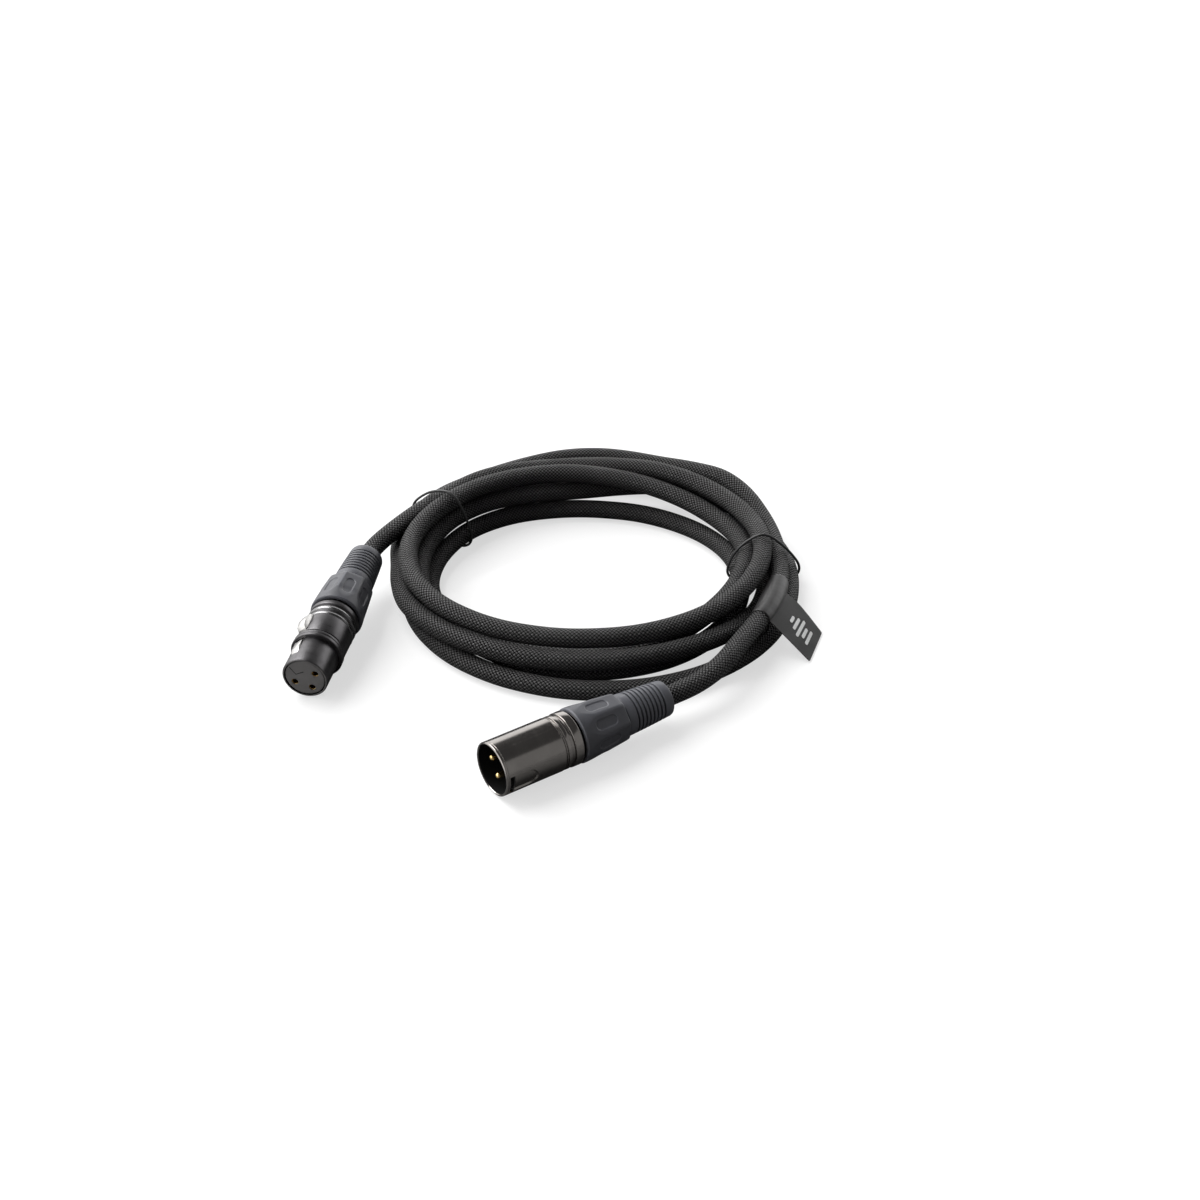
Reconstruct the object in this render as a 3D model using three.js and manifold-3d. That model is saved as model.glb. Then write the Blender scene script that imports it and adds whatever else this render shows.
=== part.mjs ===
// Coiled microphone cable with a male and a female three-pole connector.
// Millimetres, +Z up, +X along the male connector from its rim towards its cable.
// Origin: centre of the whole object's footprint, on the plane it lies on.
// The places below are measured from the coil's centre, COIL_CENTRE.
// Each connector is built along its own +X, from its front at 0 towards its cable.
// Angles round a connector are in degrees, seen from its front: 0 at the right, 90 at the top.
import * as THREE from "three";
import { mergeVertices } from "three/addons/utils/BufferGeometryUtils.js";
import Module from "manifold-3d";

const wasm = await Module();
wasm.setup();

// ---- cable ----
const COIL_CENTRE = [26.19, 7.594, -0.013];
const CABLE_R = 3.75; // over its braid
const CABLE_SIDES = 9;
const COIL_STEP = 11; // length of one straight stretch of the coil
const TAIL_STEP = 5.5; // the same in the tails
const TAIL_SIDES = 10;
const CURVE_STEP = 4; // between the curve points of a short stretch
const PIVOT_IN = 8.8; // from the relief's end to the bend of the tail at the connector
const JOINT_GAP = 0.35; // round the ball-ended tail
const JOINT_R = CABLE_R + JOINT_GAP;
const MALE_BEND_AT = 53; // along the cable, from the end of the male relief
const FEMALE_BEND_AT = 42; // the same from the end of the female relief

// ---- label ----
const SLEEVE_FROM = 61.3; // along the cable
const SLEEVE_TO = 89;
const SLEEVE_R_IN = 4.05;
const SLEEVE_R_OUT = 4.55;
const SLEEVE_SIDES = 14;
const FLAG_W = 20.3; // along the cable
const FLAG_L = 19; // away from it
const FLAG_T = 0.6;
const FLAG_SKEW = -0.18; // the flag hangs a little askew, towards the connector
const FLAG_INSET = 0.3; // from the sleeve's end
const FLAG_GAP = 0.55; // from the sleeve's side
const FLAG_BELOW = 1.2; // its upper edge under the cable's centre
const FLAG_END_Z = 0.75; // its lower edge over the coil's zero height

// ---- ties ----
const TIE_R = 0.6;
const TIE_SIDES = 5;
const TIE_STEPS = 32;
const TIE_OFFSET = 4.7; // from a strand's centre to the cord's centre
const STRAND_POINTS = 40; // round each strand, for the cord to wrap

// Strands are [distance from the coil's centre, height].
const TIES = [
  {
    name: "tie_left",
    azimuth: 115.15,
    strands: [
      [81.57, 11.19], [76.34, 5.4], [66.46, 11.59], [61.65, 5.4], [68.03, 19.19], [75.32, 16.48],
    ],
  },
  {
    name: "tie_right",
    azimuth: -31.85,
    strands: [
      [73.73, 11.8], [69.44, 5.33], [78.2, 5.39], [58.47, 5.36], [61.24, 12.69], [67.38, 17.57],
    ],
  },
];

// ---- connectors ----
const MALE_RIM = [-102.636, -88.443, 10.3];
const MALE_KEY = -12;
const MALE_LATCH = MALE_KEY - 3; // latch window and thumb recess
const FEMALE_FACE = [-128.975, -2.876, 9.05];
const FEMALE_DIR = [0.72298713, 0.68684275, 0.07440865];
const FEMALE_KEY = 130; // the latch

// Lengths are from the front; contacts is the middle of the contacts' open side.
const MALE = {
  name: "male",
  length: 72.7,
  collarFrom: 32.8,
  collarTo: 52,
  cupEnd: 29.5,
  contacts: MALE_KEY,
  gripRoll: MALE_KEY + 8,
};
const FEMALE = {
  name: "female",
  length: 75.93,
  collarFrom: 36.75,
  collarTo: 54.56,
  cupEnd: 32.6,
  contacts: 120,
  gripRoll: FEMALE_KEY - 14,
};

const SHELL_R = 9.85;
const SHELL_BORE = 9.0;
const BODY_R = 9.5; // female shell behind its ring
const NOSE_R = 8.57;
const NOSE_BORE = 7.75;
const SPIGOT_R = 8.2; // rear of a shell, inside the collar
const CHUCK_R = 6.85;
const FIT_GAP = 0.35; // round the spigot and the chuck
const PIN_R = 1.18;
const PIN_CIRCLE = 4.7; // distance of the contacts from the axis
const CONTACT_TURNS = [90, -90, 180]; // contacts 1 to 3, from the middle of the open side
const CUP_R = 1.05; // hole in the rear of a contact
const CUP_DEPTH = 3;
const CONTACT_SEGMENTS = 10;

const FACETS = 8;
const GRIP_R = 10.3; // the collars' front edge, on which the male connector lies
const FACET_FRONT = GRIP_R - 0.4; // axis to a facet at the collar's front
const FACET_REAR = 8.75;
const PAD_L = 9.4;
const PAD_W = 4.3;
const PAD_DEPTH = 0.25;
const PAD_AT = 9.9; // its middle, from the collar's front
const PAD_CUT_T = 1; // thickness of the block that cuts it

const RIBS = 7;
const FLANGE_R = 7.9;
const RIB_R_FRONT = 7.8;
const RIB_R_REAR = 6.65;
const GROOVE_DEPTH = 0.9;

// Conductors of contacts 1 to 3: the bare screen wire and two insulated ones.
const WIRES = [
  { suffix: "_drain_wire", radius: 0.5, finish: "copper" },
  { suffix: "_wire_1", radius: 0.8, finish: "wireA" },
  { suffix: "_wire_2", radius: 0.8, finish: "wireB" },
];

const FINISHES = {
  braid: { color: 0x1c1d20, roughness: 0.85 },
  label: { color: 0x2b2c30, roughness: 0.6 },
  cord: { color: 0x0e0e10, roughness: 0.7 },
  shell: { color: 0x2a2b2e, roughness: 0.25, metalness: 0.9 },
  insert: { color: 0x101012, roughness: 0.5 },
  gold: { color: 0xc9a14a, roughness: 0.25, metalness: 1 },
  boot: { color: 0x2c2e33, roughness: 0.6 },
  chuck: { color: 0xd8d5c8, roughness: 0.5 },
  steel: { color: 0xb9bcc0, roughness: 0.3, metalness: 1 },
  wireA: { color: 0xb02a22, roughness: 0.5 },
  wireB: { color: 0xe8e8e4, roughness: 0.5 },
  copper: { color: 0xb87333, roughness: 0.35, metalness: 1 },
};

// Centre line [x, y, z] of the cable from the male connector's relief to the female one's.
const PATH = [
  [-29.94, -88.44, 10.30], [-15.96, -88.55, 10.73], [-2.37, -85.66, 11.71], [10.28, -79.71, 12.26],
  [22.82, -73.42, 12.39], [35.16, -66.78, 12.22], [46.22, -58.28, 12.06], [55.81, -48.19, 11.87],
  [63.94, -36.90, 11.79], [70.71, -24.72, 11.75], [75.95, -11.64, 12.70], [78.56, 2.34, 15.29],
  [77.35, 16.41, 17.24], [72.08, 29.74, 16.47], [64.81, 42.12, 15.62], [56.43, 53.39, 15.81],
  [46.45, 63.01, 16.21], [34.55, 70.17, 15.97], [21.46, 75.09, 14.95], [7.73, 78.39, 13.44],
  [-6.44, 79.77, 12.29], [-20.61, 78.40, 12.01], [-34.15, 74.09, 11.24], [-46.08, 66.56, 9.87],
  [-55.49, 56.00, 9.39], [-62.70, 43.52, 10.23], [-69.54, 31.35, 10.56], [-74.28, 18.91, 10.91],
  [-75.43, 5.33, 11.38], [-73.26, -8.64, 11.50], [-68.34, -21.92, 11.13], [-61.00, -33.87, 10.71],
  [-51.84, -44.48, 10.55], [-41.19, -53.58, 10.61], [-29.14, -60.67, 10.69], [-15.99, -65.45, 10.57],
  [-2.21, -67.76, 10.11], [11.71, -67.28, 9.11], [25.12, -63.85, 7.52], [37.48, -57.62, 5.76],
  [48.43, -49.02, 5.04], [57.66, -38.58, 5.32], [64.56, -26.58, 5.09], [68.56, -13.44, 4.32],
  [69.94, 0.28, 3.83], [70.11, 14.11, 3.77], [69.80, 27.85, 3.77], [66.47, 40.98, 3.77],
  [59.26, 52.83, 3.77], [49.28, 62.81, 3.77], [37.63, 70.64, 3.77], [24.78, 76.15, 3.77],
  [11.11, 79.11, 3.77], [-2.84, 79.20, 4.00], [-16.51, 76.28, 4.71], [-29.35, 70.85, 5.36],
  [-40.65, 63.32, 5.15], [-50.10, 53.83, 4.13], [-58.29, 42.77, 3.77], [-65.65, 30.75, 3.77],
  [-71.20, 17.83, 3.77], [-73.90, 4.08, 3.77], [-73.71, -9.92, 3.77], [-70.95, -23.58, 3.77],
  [-65.72, -36.50, 3.77], [-58.20, -48.28, 3.77], [-48.69, -58.54, 3.77], [-37.50, -66.93, 3.77],
  [-24.99, -73.17, 3.77], [-11.54, -76.99, 3.77], [2.40, -78.13, 3.77], [16.30, -76.58, 3.77],
  [29.66, -72.49, 3.77], [42.04, -66.01, 3.88], [53.10, -57.39, 4.49], [62.52, -46.94, 5.26],
  [70.00, -34.97, 5.26], [75.12, -21.83, 4.50], [77.41, -8.10, 5.28], [76.14, 5.65, 8.55],
  [71.15, 19.01, 11.40], [63.29, 30.92, 11.10], [53.01, 40.31, 10.25], [40.92, 47.12, 10.05],
  [27.72, 52.18, 10.63], [14.47, 57.48, 11.29], [0.98, 61.84, 11.45], [-12.87, 63.11, 11.63],
  [-26.37, 60.82, 11.62], [-39.03, 54.87, 11.30], [-50.14, 45.77, 10.90], [-58.87, 34.44, 10.56],
  [-64.89, 21.76, 10.07], [-67.74, 8.22, 9.09], [-66.98, -5.68, 7.70], [-63.07, -19.06, 6.05],
  [-56.64, -31.44, 4.59], [-48.16, -42.53, 3.86], [-37.72, -51.78, 3.77], [-25.40, -58.32, 3.77],
  [-11.85, -61.81, 3.77], [2.19, -62.07, 3.77], [15.90, -59.11, 3.77], [28.47, -53.23, 4.00],
  [39.32, -44.71, 4.71], [47.98, -33.76, 5.34], [53.99, -21.06, 5.12], [56.82, -7.50, 4.32],
  [55.99, 6.30, 3.84], [51.70, 19.62, 3.77], [44.53, 31.62, 3.77], [35.16, 41.74, 3.77],
  [24.29, 50.09, 3.77], [12.11, 56.57, 3.81], [-1.25, 59.68, 4.22], [-15.06, 58.83, 5.05],
  [-28.50, 54.95, 5.39], [-40.71, 48.53, 4.76], [-50.81, 39.52, 4.00], [-57.91, 27.92, 3.77],
  [-61.55, 14.58, 3.77], [-61.42, 0.72, 3.77], [-57.65, -12.63, 3.78], [-51.32, -25.02, 3.80],
  [-42.85, -36.08, 3.77], [-32.22, -45.14, 3.99], [-19.79, -51.49, 5.02], [-6.41, -54.89, 6.80],
  [7.31, -55.26, 8.84], [20.90, -52.64, 10.52], [33.85, -47.33, 11.90], [45.38, -39.52, 12.83],
  [54.22, -29.05, 12.49], [59.32, -16.34, 11.81], [60.40, -2.47, 12.19], [57.97, 11.29, 13.59],
  [53.00, 24.27, 15.17], [45.59, 36.08, 16.56], [35.96, 46.32, 17.75], [24.95, 54.98, 18.54],
  [12.70, 61.44, 18.60], [-0.61, 64.99, 18.68], [-14.52, 64.97, 19.07], [-28.33, 61.77, 19.21],
  [-41.22, 56.79, 18.58], [-52.18, 49.58, 17.72], [-60.77, 39.49, 17.40], [-66.90, 27.00, 17.21],
  [-69.60, 13.14, 16.76], [-68.28, -0.84, 16.06], [-63.72, -14.06, 15.28], [-56.62, -26.08, 14.81],
  [-47.55, -36.72, 14.68], [-36.92, -45.80, 14.72], [-24.88, -52.90, 14.70], [-11.75, -57.69, 14.70],
  [2.06, -59.97, 14.91], [16.05, -59.50, 15.38], [29.67, -56.06, 16.09], [42.36, -49.73, 16.90],
  [53.25, -40.59, 17.49], [61.19, -28.91, 17.51], [66.05, -15.63, 17.23], [67.88, -1.71, 17.15],
  [66.71, 12.13, 17.50], [62.67, 25.39, 18.17], [56.01, 37.69, 18.27], [46.93, 48.37, 17.71],
  [36.09, 57.32, 17.20], [24.16, 64.62, 17.00], [11.46, 70.07, 17.13], [-2.00, 73.39, 17.16],
  [-15.90, 72.61, 16.70], [-29.22, 69.05, 16.43], [-42.61, 64.39, 16.89], [-55.72, 58.74, 16.78],
  [-68.59, 53.47, 15.24], [-74.08, 49.28, 14.70],
];

// ---- solids ----
const rad = THREE.MathUtils.degToRad;

function solid(geometry) {
  geometry.deleteAttribute("normal");
  geometry.deleteAttribute("uv");
  const merged = mergeVertices(geometry, 1e-4);
  return new wasm.Manifold(
    new wasm.Mesh({
      numProp: 3,
      vertProperties: merged.attributes.position.array,
      triVerts: new Uint32Array(merged.index.array),
    }),
  );
}

// Adds a solid to a group as a flat-shaded mesh.
function addMesh(name, body, finish, parent) {
  const { vertProperties, triVerts } = body.getMesh();
  const indexed = new THREE.BufferGeometry();
  indexed.setAttribute("position", new THREE.BufferAttribute(vertProperties, 3));
  indexed.setIndex(new THREE.BufferAttribute(triVerts, 1));
  const flat = indexed.toNonIndexed();
  flat.computeVertexNormals();
  const mesh = new THREE.Mesh(flat, new THREE.MeshStandardMaterial(FINISHES[finish]));
  mesh.name = name;
  parent.add(mesh);
}

// Body turned about X. The [along, radius] profile runs outwards at the front,
// back along the outside and inwards at the rear; it is closed unless it ends on the axis.
function lathe(profile, segments = 28) {
  const onAxis = profile[0][1] === 0 && profile.at(-1)[1] === 0;
  const outline = onAxis ? profile : [...profile, profile[0]];
  const points = outline.map(([along, radius]) => new THREE.Vector2(radius, along));
  return solid(new THREE.LatheGeometry(points, segments).rotateZ(-Math.PI / 2));
}

// Direction from the X axis at an angle.
const around = (deg) => new THREE.Vector3(0, -Math.cos(rad(deg)), Math.sin(rad(deg)));

// Solid of a geometry built above the X axis, turned so that its +Z points to an angle.
const turned = (geometry, deg) => solid(geometry.rotateX(rad(90 - deg)));

// A solid on the X axis, moved off it at an angle.
function offAxis(body, deg, distance) {
  const { y, z } = around(deg).multiplyScalar(distance);
  return body.translate([0, y, z]);
}

// Box between two places along X and two distances from the axis, at an angle.
function radialBox(from, to, inner, outer, width, deg) {
  const box = new THREE.BoxGeometry(to - from, width, outer - inner);
  box.translate((from + to) / 2, 0, (inner + outer) / 2);
  return turned(box, deg);
}

// Cylinder on the X axis.
function rod(from, to, radius, segments = 14) {
  const cylinder = new THREE.CylinderGeometry(radius, radius, to - from, segments);
  cylinder.rotateZ(-Math.PI / 2);
  return solid(cylinder.translate((from + to) / 2, 0, 0));
}

function ball(centre, radius) {
  return solid(new THREE.SphereGeometry(radius, 12, 7).translate(...centre));
}

const circlePoints = (x, y, radius, count) =>
  Array.from({ length: count }, (_, i) => {
    const angle = (2 * Math.PI * i) / count;
    return new THREE.Vector2(x + radius * Math.cos(angle), y + radius * Math.sin(angle));
  });

function tubeGeometry(curve, radius, steps, sides) {
  const section = new THREE.Shape(circlePoints(0, 0, radius, sides));
  section.closePath();
  return new THREE.ExtrudeGeometry(section, { extrudePath: curve, steps, bevelEnabled: false });
}

const tube = (...args) => solid(tubeGeometry(...args));

// ---- cable ----
const smoothCurve = (points) => new THREE.CatmullRomCurve3(points, false, "centripetal");

const cableLine = smoothCurve(PATH.map((point) => new THREE.Vector3(...point)));
cableLine.arcLengthDivisions = 6000;
const CABLE_L = cableLine.getLength();
const onCable = (distance) => cableLine.getPointAt(distance / CABLE_L);

// Part of the cable's centre line, through points about a step apart.
function stretch(from, to, step) {
  const count = Math.max(2, Math.round((to - from) / step));
  const points = [];
  for (let i = 0; i <= count; i++) points.push(onCable(from + ((to - from) * i) / count));
  return smoothCurve(points);
}

function addCoil(parent) {
  const from = MALE_BEND_AT + JOINT_R;
  const to = CABLE_L - FEMALE_BEND_AT - JOINT_R;
  const steps = Math.round((to - from) / COIL_STEP);
  const coil = tube(stretch(from, to, COIL_STEP), CABLE_R, steps, CABLE_SIDES);
  addMesh("cable_coil", coil, "braid", parent);
}

// Ball-ended length of cable between a connector and the coil.
function addTail(name, from, to, parent) {
  const steps = Math.round((to - from) / TAIL_STEP);
  const tail = tube(stretch(from, to, CURVE_STEP), CABLE_R, steps, TAIL_SIDES)
    .add(ball(onCable(from), CABLE_R))
    .add(ball(onCable(to), CABLE_R));
  addMesh(name, tail, "braid", parent);
}

// ---- label ----
function addLabelSleeve(parent) {
  const overrun = 2; // of the bore past each end
  const outside = stretch(SLEEVE_FROM, SLEEVE_TO, CURVE_STEP);
  const bore = stretch(SLEEVE_FROM - overrun, SLEEVE_TO + overrun, CURVE_STEP);
  const sleeve = tube(outside, SLEEVE_R_OUT, 5, SLEEVE_SIDES)
    .subtract(tube(bore, SLEEVE_R_IN, 6, SLEEVE_SIDES));
  addMesh("label_sleeve", sleeve, "label", parent);
}

// The flag slopes down and out of the coil from the sleeve.
function addLabelFlag(parent) {
  const middle = SLEEVE_FROM + FLAG_W / 2 + FLAG_INSET;
  const along = cableLine.getTangentAt(middle / CABLE_L).setZ(0).normalize();
  const out = new THREE.Vector3(along.y, -along.x, 0);
  const start = onCable(middle).addScaledVector(out, SLEEVE_R_OUT + FLAG_GAP);
  start.z -= FLAG_BELOW;
  const drop = start.z - FLAG_END_Z;
  const down = out.clone().multiplyScalar(Math.sqrt(FLAG_L ** 2 - drop ** 2));
  down.setZ(-drop).normalize();
  const skewed = down.clone().addScaledVector(along, FLAG_SKEW);
  const normal = along.clone().cross(down);
  const flag = new THREE.BoxGeometry(FLAG_W, FLAG_L, FLAG_T);
  flag.applyMatrix4(new THREE.Matrix4().makeBasis(along, skewed, normal));
  flag.translate(...start.addScaledVector(skewed, FLAG_L / 2));
  addMesh("label_flag", solid(flag), "label", parent);
}

// ---- ties ----
// Counter-clockwise convex outline of 2D points.
function convexHull(points) {
  const sorted = [...points].sort((a, b) => a.x - b.x || a.y - b.y);
  const turn = (o, a, b) => (a.x - o.x) * (b.y - o.y) - (a.y - o.y) * (b.x - o.x);
  const half = (list) => {
    const chain = [];
    for (const point of list) {
      while (chain.length > 1 && turn(chain.at(-2), chain.at(-1), point) <= 0) chain.pop();
      chain.push(point);
    }
    chain.pop();
    return chain;
  };
  return [...half(sorted), ...half([...sorted].reverse())];
}

// Cord round the bundle in one upright plane through the coil's centre.
function addTie({ name, azimuth, strands }, parent) {
  const wrapped = strands.flatMap(([x, y]) => circlePoints(x, y, TIE_OFFSET, STRAND_POINTS));
  const loop = new THREE.Path(convexHull(wrapped));
  loop.closePath();
  const ring = [];
  for (let i = 0; i < TIE_STEPS; i++) ring.push(loop.getPoint(i / TIE_STEPS));

  // A torus lends its grid of triangles; every vertex is placed anew, in the XZ plane.
  const cord = new THREE.TorusGeometry(10, TIE_R, TIE_SIDES, TIE_STEPS);
  for (let i = 0; i <= TIE_STEPS; i++) {
    const before = ring[(i + TIE_STEPS - 1) % TIE_STEPS];
    const tangent = ring[(i + 1) % TIE_STEPS].clone().sub(before).normalize();
    const outward = new THREE.Vector2(tangent.y, -tangent.x);
    for (let j = 0; j <= TIE_SIDES; j++) {
      const angle = (2 * Math.PI * j) / TIE_SIDES;
      const point = ring[i % TIE_STEPS].clone();
      point.addScaledVector(outward, TIE_R * Math.cos(angle));
      const vertex = j * (TIE_STEPS + 1) + i;
      cord.attributes.position.setXYZ(vertex, point.x, TIE_R * Math.sin(angle), point.y);
    }
  }
  cord.index.array.reverse(); // XZ mirrors the torus's own XY, so the faces are turned back
  addMesh(name, solid(cord.rotateZ(rad(azimuth))), "cord", parent);
}

// ---- parts both connectors share ----
const contactAngles = ({ contacts }) => CONTACT_TURNS.map((turn) => contacts + turn);

// Block that carries the contacts in a bore, before its holes.
const insertBlank = (from, to, bore) =>
  lathe([
    [from, 0],
    [from, bore - 0.6],
    [from + 0.3, bore - 0.3],
    [to, bore - 0.3],
    [to, 0],
  ]);

// Slotted sleeve that grips the cable.
function addChuck({ name, collarFrom, collarTo, gripRoll }, parent) {
  const sleeve = lathe(
    [
      [collarFrom + 3.4, 4.1],
      [collarFrom + 3.4, CHUCK_R - 0.4],
      [collarFrom + 4, CHUCK_R],
      [collarTo - 3, CHUCK_R],
      [collarTo - 1.4, CHUCK_R - 1],
      [collarTo - 1.4, 4.1],
    ],
    18,
  );
  const slot = radialBox(collarFrom, collarTo, 0, 12, 1.4, gripRoll + 60);
  addMesh(name + "_chuck", sleeve.subtract(slot), "chuck", parent);
}

// Tapered grip collar with facets, each with a shallow recessed pad.
function addCollar({ name, collarFrom, collarTo, gripRoll }, parent) {
  const length = collarTo - collarFrom;
  const rake = Math.atan2(FACET_FRONT - FACET_REAR, length);
  const toCorner = 1 / Math.cos(Math.PI / FACETS);
  const facets = new THREE.CylinderGeometry(
    FACET_REAR * toCorner,
    FACET_FRONT * toCorner,
    length + 0.02,
    FACETS,
  );
  facets.rotateY(Math.PI / FACETS);
  facets.rotateZ(-Math.PI / 2);
  facets.translate((collarFrom + collarTo) / 2, 0, 0);
  let collar = lathe(
    [
      [collarFrom, 5],
      [collarFrom, GRIP_R - 0.55],
      [collarFrom + 0.6, GRIP_R],
      [collarFrom + 8, GRIP_R - 0.15],
      [collarTo - 1.2, 9.1],
      [collarTo, 8.5],
      [collarTo, 5],
    ],
    32,
  ).intersect(turned(facets, gripRoll));
  const padFloor = FACET_FRONT - PAD_AT * Math.tan(rake) - PAD_DEPTH;
  for (let i = 0; i < FACETS; i++) {
    const pad = new THREE.BoxGeometry(PAD_L, PAD_W, PAD_CUT_T);
    pad.rotateY(rake);
    pad.translate(collarFrom + PAD_AT, 0, padFloor + PAD_CUT_T / 2);
    collar = collar.subtract(turned(pad, gripRoll + (360 / FACETS) * i));
  }
  const bore = lathe([
    [collarFrom - 1, 0],
    [collarFrom - 1, SPIGOT_R + FIT_GAP],
    [collarFrom + 8.4, SPIGOT_R + FIT_GAP],
    [collarFrom + 8.4, CHUCK_R + FIT_GAP],
    [collarTo + 1, CHUCK_R + FIT_GAP],
    [collarTo + 1, 0],
  ]);
  addMesh(name + "_collar", collar.subtract(bore), "boot", parent);
}

// Strain relief: flange, tapering ribs, end band.
function addRelief({ name, collarTo, length }, parent) {
  const flange = collarTo + 0.35;
  const ribsFrom = flange + 3.0;
  const ribsTo = length - 3.2;
  const pitch = (ribsTo - ribsFrom) / RIBS;
  const ribRadius = (count) => THREE.MathUtils.lerp(RIB_R_FRONT, RIB_R_REAR, count / RIBS);
  const profile = [
    [collarTo - 1.0, 4.15],
    [collarTo - 1.0, CHUCK_R],
    [flange, CHUCK_R],
    [flange, FLANGE_R],
    [ribsFrom, RIB_R_FRONT],
  ];
  for (let i = 0; i < RIBS; i++)
    profile.push(
      [ribsFrom + pitch * (i + 0.02), ribRadius(i) - GROOVE_DEPTH],
      [ribsFrom + pitch * (i + 0.4), ribRadius(i + 0.4) - GROOVE_DEPTH],
      [ribsFrom + pitch * (i + 0.48), ribRadius(i + 0.5)],
      [ribsFrom + pitch * (i + 0.98), ribRadius(i + 1)],
    );
  profile.push(
    [ribsTo + 0.05, RIB_R_REAR - 0.1],
    [length - 0.5, RIB_R_REAR],
    [length, RIB_R_REAR - 0.4],
    [length, 4.15],
  );
  addMesh(name + "_relief", lathe(profile, 16), "boot", parent);
}

// End of the cable, held in the chuck.
function addCableEnd({ name, collarFrom, length }, parent) {
  const end = rod(collarFrom + 8, length + PIVOT_IN - JOINT_R, CABLE_R, 20);
  addMesh(`cable_${name}_end`, end, "braid", parent);
}

// Conductors from the contacts' cups to the cable.
function addWires(connector, parent) {
  const { name, collarFrom, cupEnd } = connector;
  // [along, distance from the axis]
  const stations = [
    [cupEnd + 0.3, PIN_CIRCLE],
    [cupEnd + 2, PIN_CIRCLE - 0.1],
    [cupEnd + 5.5, 3.0],
    [cupEnd + 8.5, 1.9],
    [collarFrom + 7.7, 1.7],
  ];
  contactAngles(connector).forEach((deg, i) => {
    const { suffix, radius, finish } = WIRES[i];
    const points = stations.map(([x, distance]) =>
      around(deg).multiplyScalar(distance).setX(x),
    );
    addMesh(name + suffix, tube(smoothCurve(points), radius, 6, 6), finish, parent);
  });
}

function addRear(connector, parent) {
  addChuck(connector, parent);
  addCollar(connector, parent);
  addRelief(connector, parent);
  addCableEnd(connector, parent);
  addWires(connector, parent);
}

// ---- male connector ----
function addMaleShell(parent) {
  const shell = lathe([
    [0, SHELL_BORE + 0.1],
    [0, SHELL_R - 0.4],
    [0.4, SHELL_R],
    [24.3, SHELL_R],
    [24.5, SHELL_R - 0.6],
    [25.2, SHELL_R - 0.6],
    [25.4, SHELL_R - 0.1],
    [26.9, SHELL_R - 0.1],
    [27.1, SHELL_R - 0.7],
    [28.1, SHELL_R - 0.7],
    [28.3, SHELL_R + 0.1],
    [32.3, SHELL_R + 0.1],
    [32.3, SPIGOT_R],
    [39.9, SPIGOT_R],
    [39.9, CHUCK_R + FIT_GAP],
    [24.9, CHUCK_R + FIT_GAP],
    [24.9, SHELL_BORE],
    [0.3, SHELL_BORE],
  ])
    .subtract(radialBox(1.9, 3.7, 6, 12, 6.8, MALE_LATCH)) // latch window
    .subtract(radialBox(3.5, 13.2, 9.45, 12, 6.8, MALE_LATCH)); // thumb recess behind it
  addMesh("male_shell", shell, "shell", parent);
}

function malePin() {
  const { cupEnd } = MALE;
  return lathe(
    [
      [2.9, 0],
      [3.0, 0.55],
      [3.4, 0.95],
      [4.1, PIN_R],
      [25.1, PIN_R],
      [25.1, 1.55],
      [cupEnd, 1.55],
      [cupEnd, CUP_R],
      [cupEnd - CUP_DEPTH, CUP_R],
      [cupEnd - CUP_DEPTH, 0],
    ],
    CONTACT_SEGMENTS,
  );
}

function addMaleContacts(parent) {
  let insert = insertBlank(14, 24.5, SHELL_BORE);
  contactAngles(MALE).forEach((deg, i) => {
    insert = insert.subtract(offAxis(rod(13, 25, PIN_R + 0.3), deg, PIN_CIRCLE));
    addMesh(`male_pin_${i + 1}`, offAxis(malePin(), deg, PIN_CIRCLE), "gold", parent);
  });
  addMesh("male_insert", insert, "insert", parent);
}

// ---- female connector ----
function addFemaleShell(parent) {
  const shell = lathe(
    [
      [0, NOSE_BORE],
      [0, NOSE_R - 0.25],
      [0.4, NOSE_R],
      [13.5, NOSE_R],
      [13.5, BODY_R + 0.3],
      [13.8, BODY_R + 0.43],
      [16.2, BODY_R + 0.43],
      [16.6, BODY_R - 0.4],
      [17.1, BODY_R - 0.4],
      [17.3, BODY_R],
      [28.3, BODY_R],
      [28.5, BODY_R - 0.7],
      [29.9, BODY_R - 0.7],
      [30.1, BODY_R],
      [31.8, BODY_R],
      [32.0, BODY_R - 0.7],
      [32.9, BODY_R - 0.7],
      [33.1, BODY_R + 0.1],
      [36.3, BODY_R + 0.1],
      [36.3, SPIGOT_R],
      [44, SPIGOT_R],
      [44, NOSE_BORE - 0.35],
      [31, NOSE_BORE - 0.35],
      [31, NOSE_BORE],
    ],
    26,
  )
    .subtract(radialBox(4.9, 13.1, 5, 12, 4.6, FEMALE_KEY)) // latch slot in the nose
    .subtract(radialBox(12.5, 17.3, 5, 8.75, 4.6, FEMALE_KEY)) // under the ring
    .subtract(radialBox(16.9, 26.9, 5, 12, 4.6, FEMALE_KEY)); // press tab's window
  addMesh("female_shell", shell, "shell", parent);
}

function femaleSocket() {
  const { cupEnd } = FEMALE;
  return lathe(
    [
      [1.8, 1.24],
      [1.8, 1.7],
      [30.2, 1.7],
      [cupEnd, 1.6],
      [cupEnd, CUP_R],
      [cupEnd - CUP_DEPTH, CUP_R],
      [cupEnd - CUP_DEPTH, 0],
      [15, 0],
      [15, 1.24],
    ],
    CONTACT_SEGMENTS,
  );
}

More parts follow.
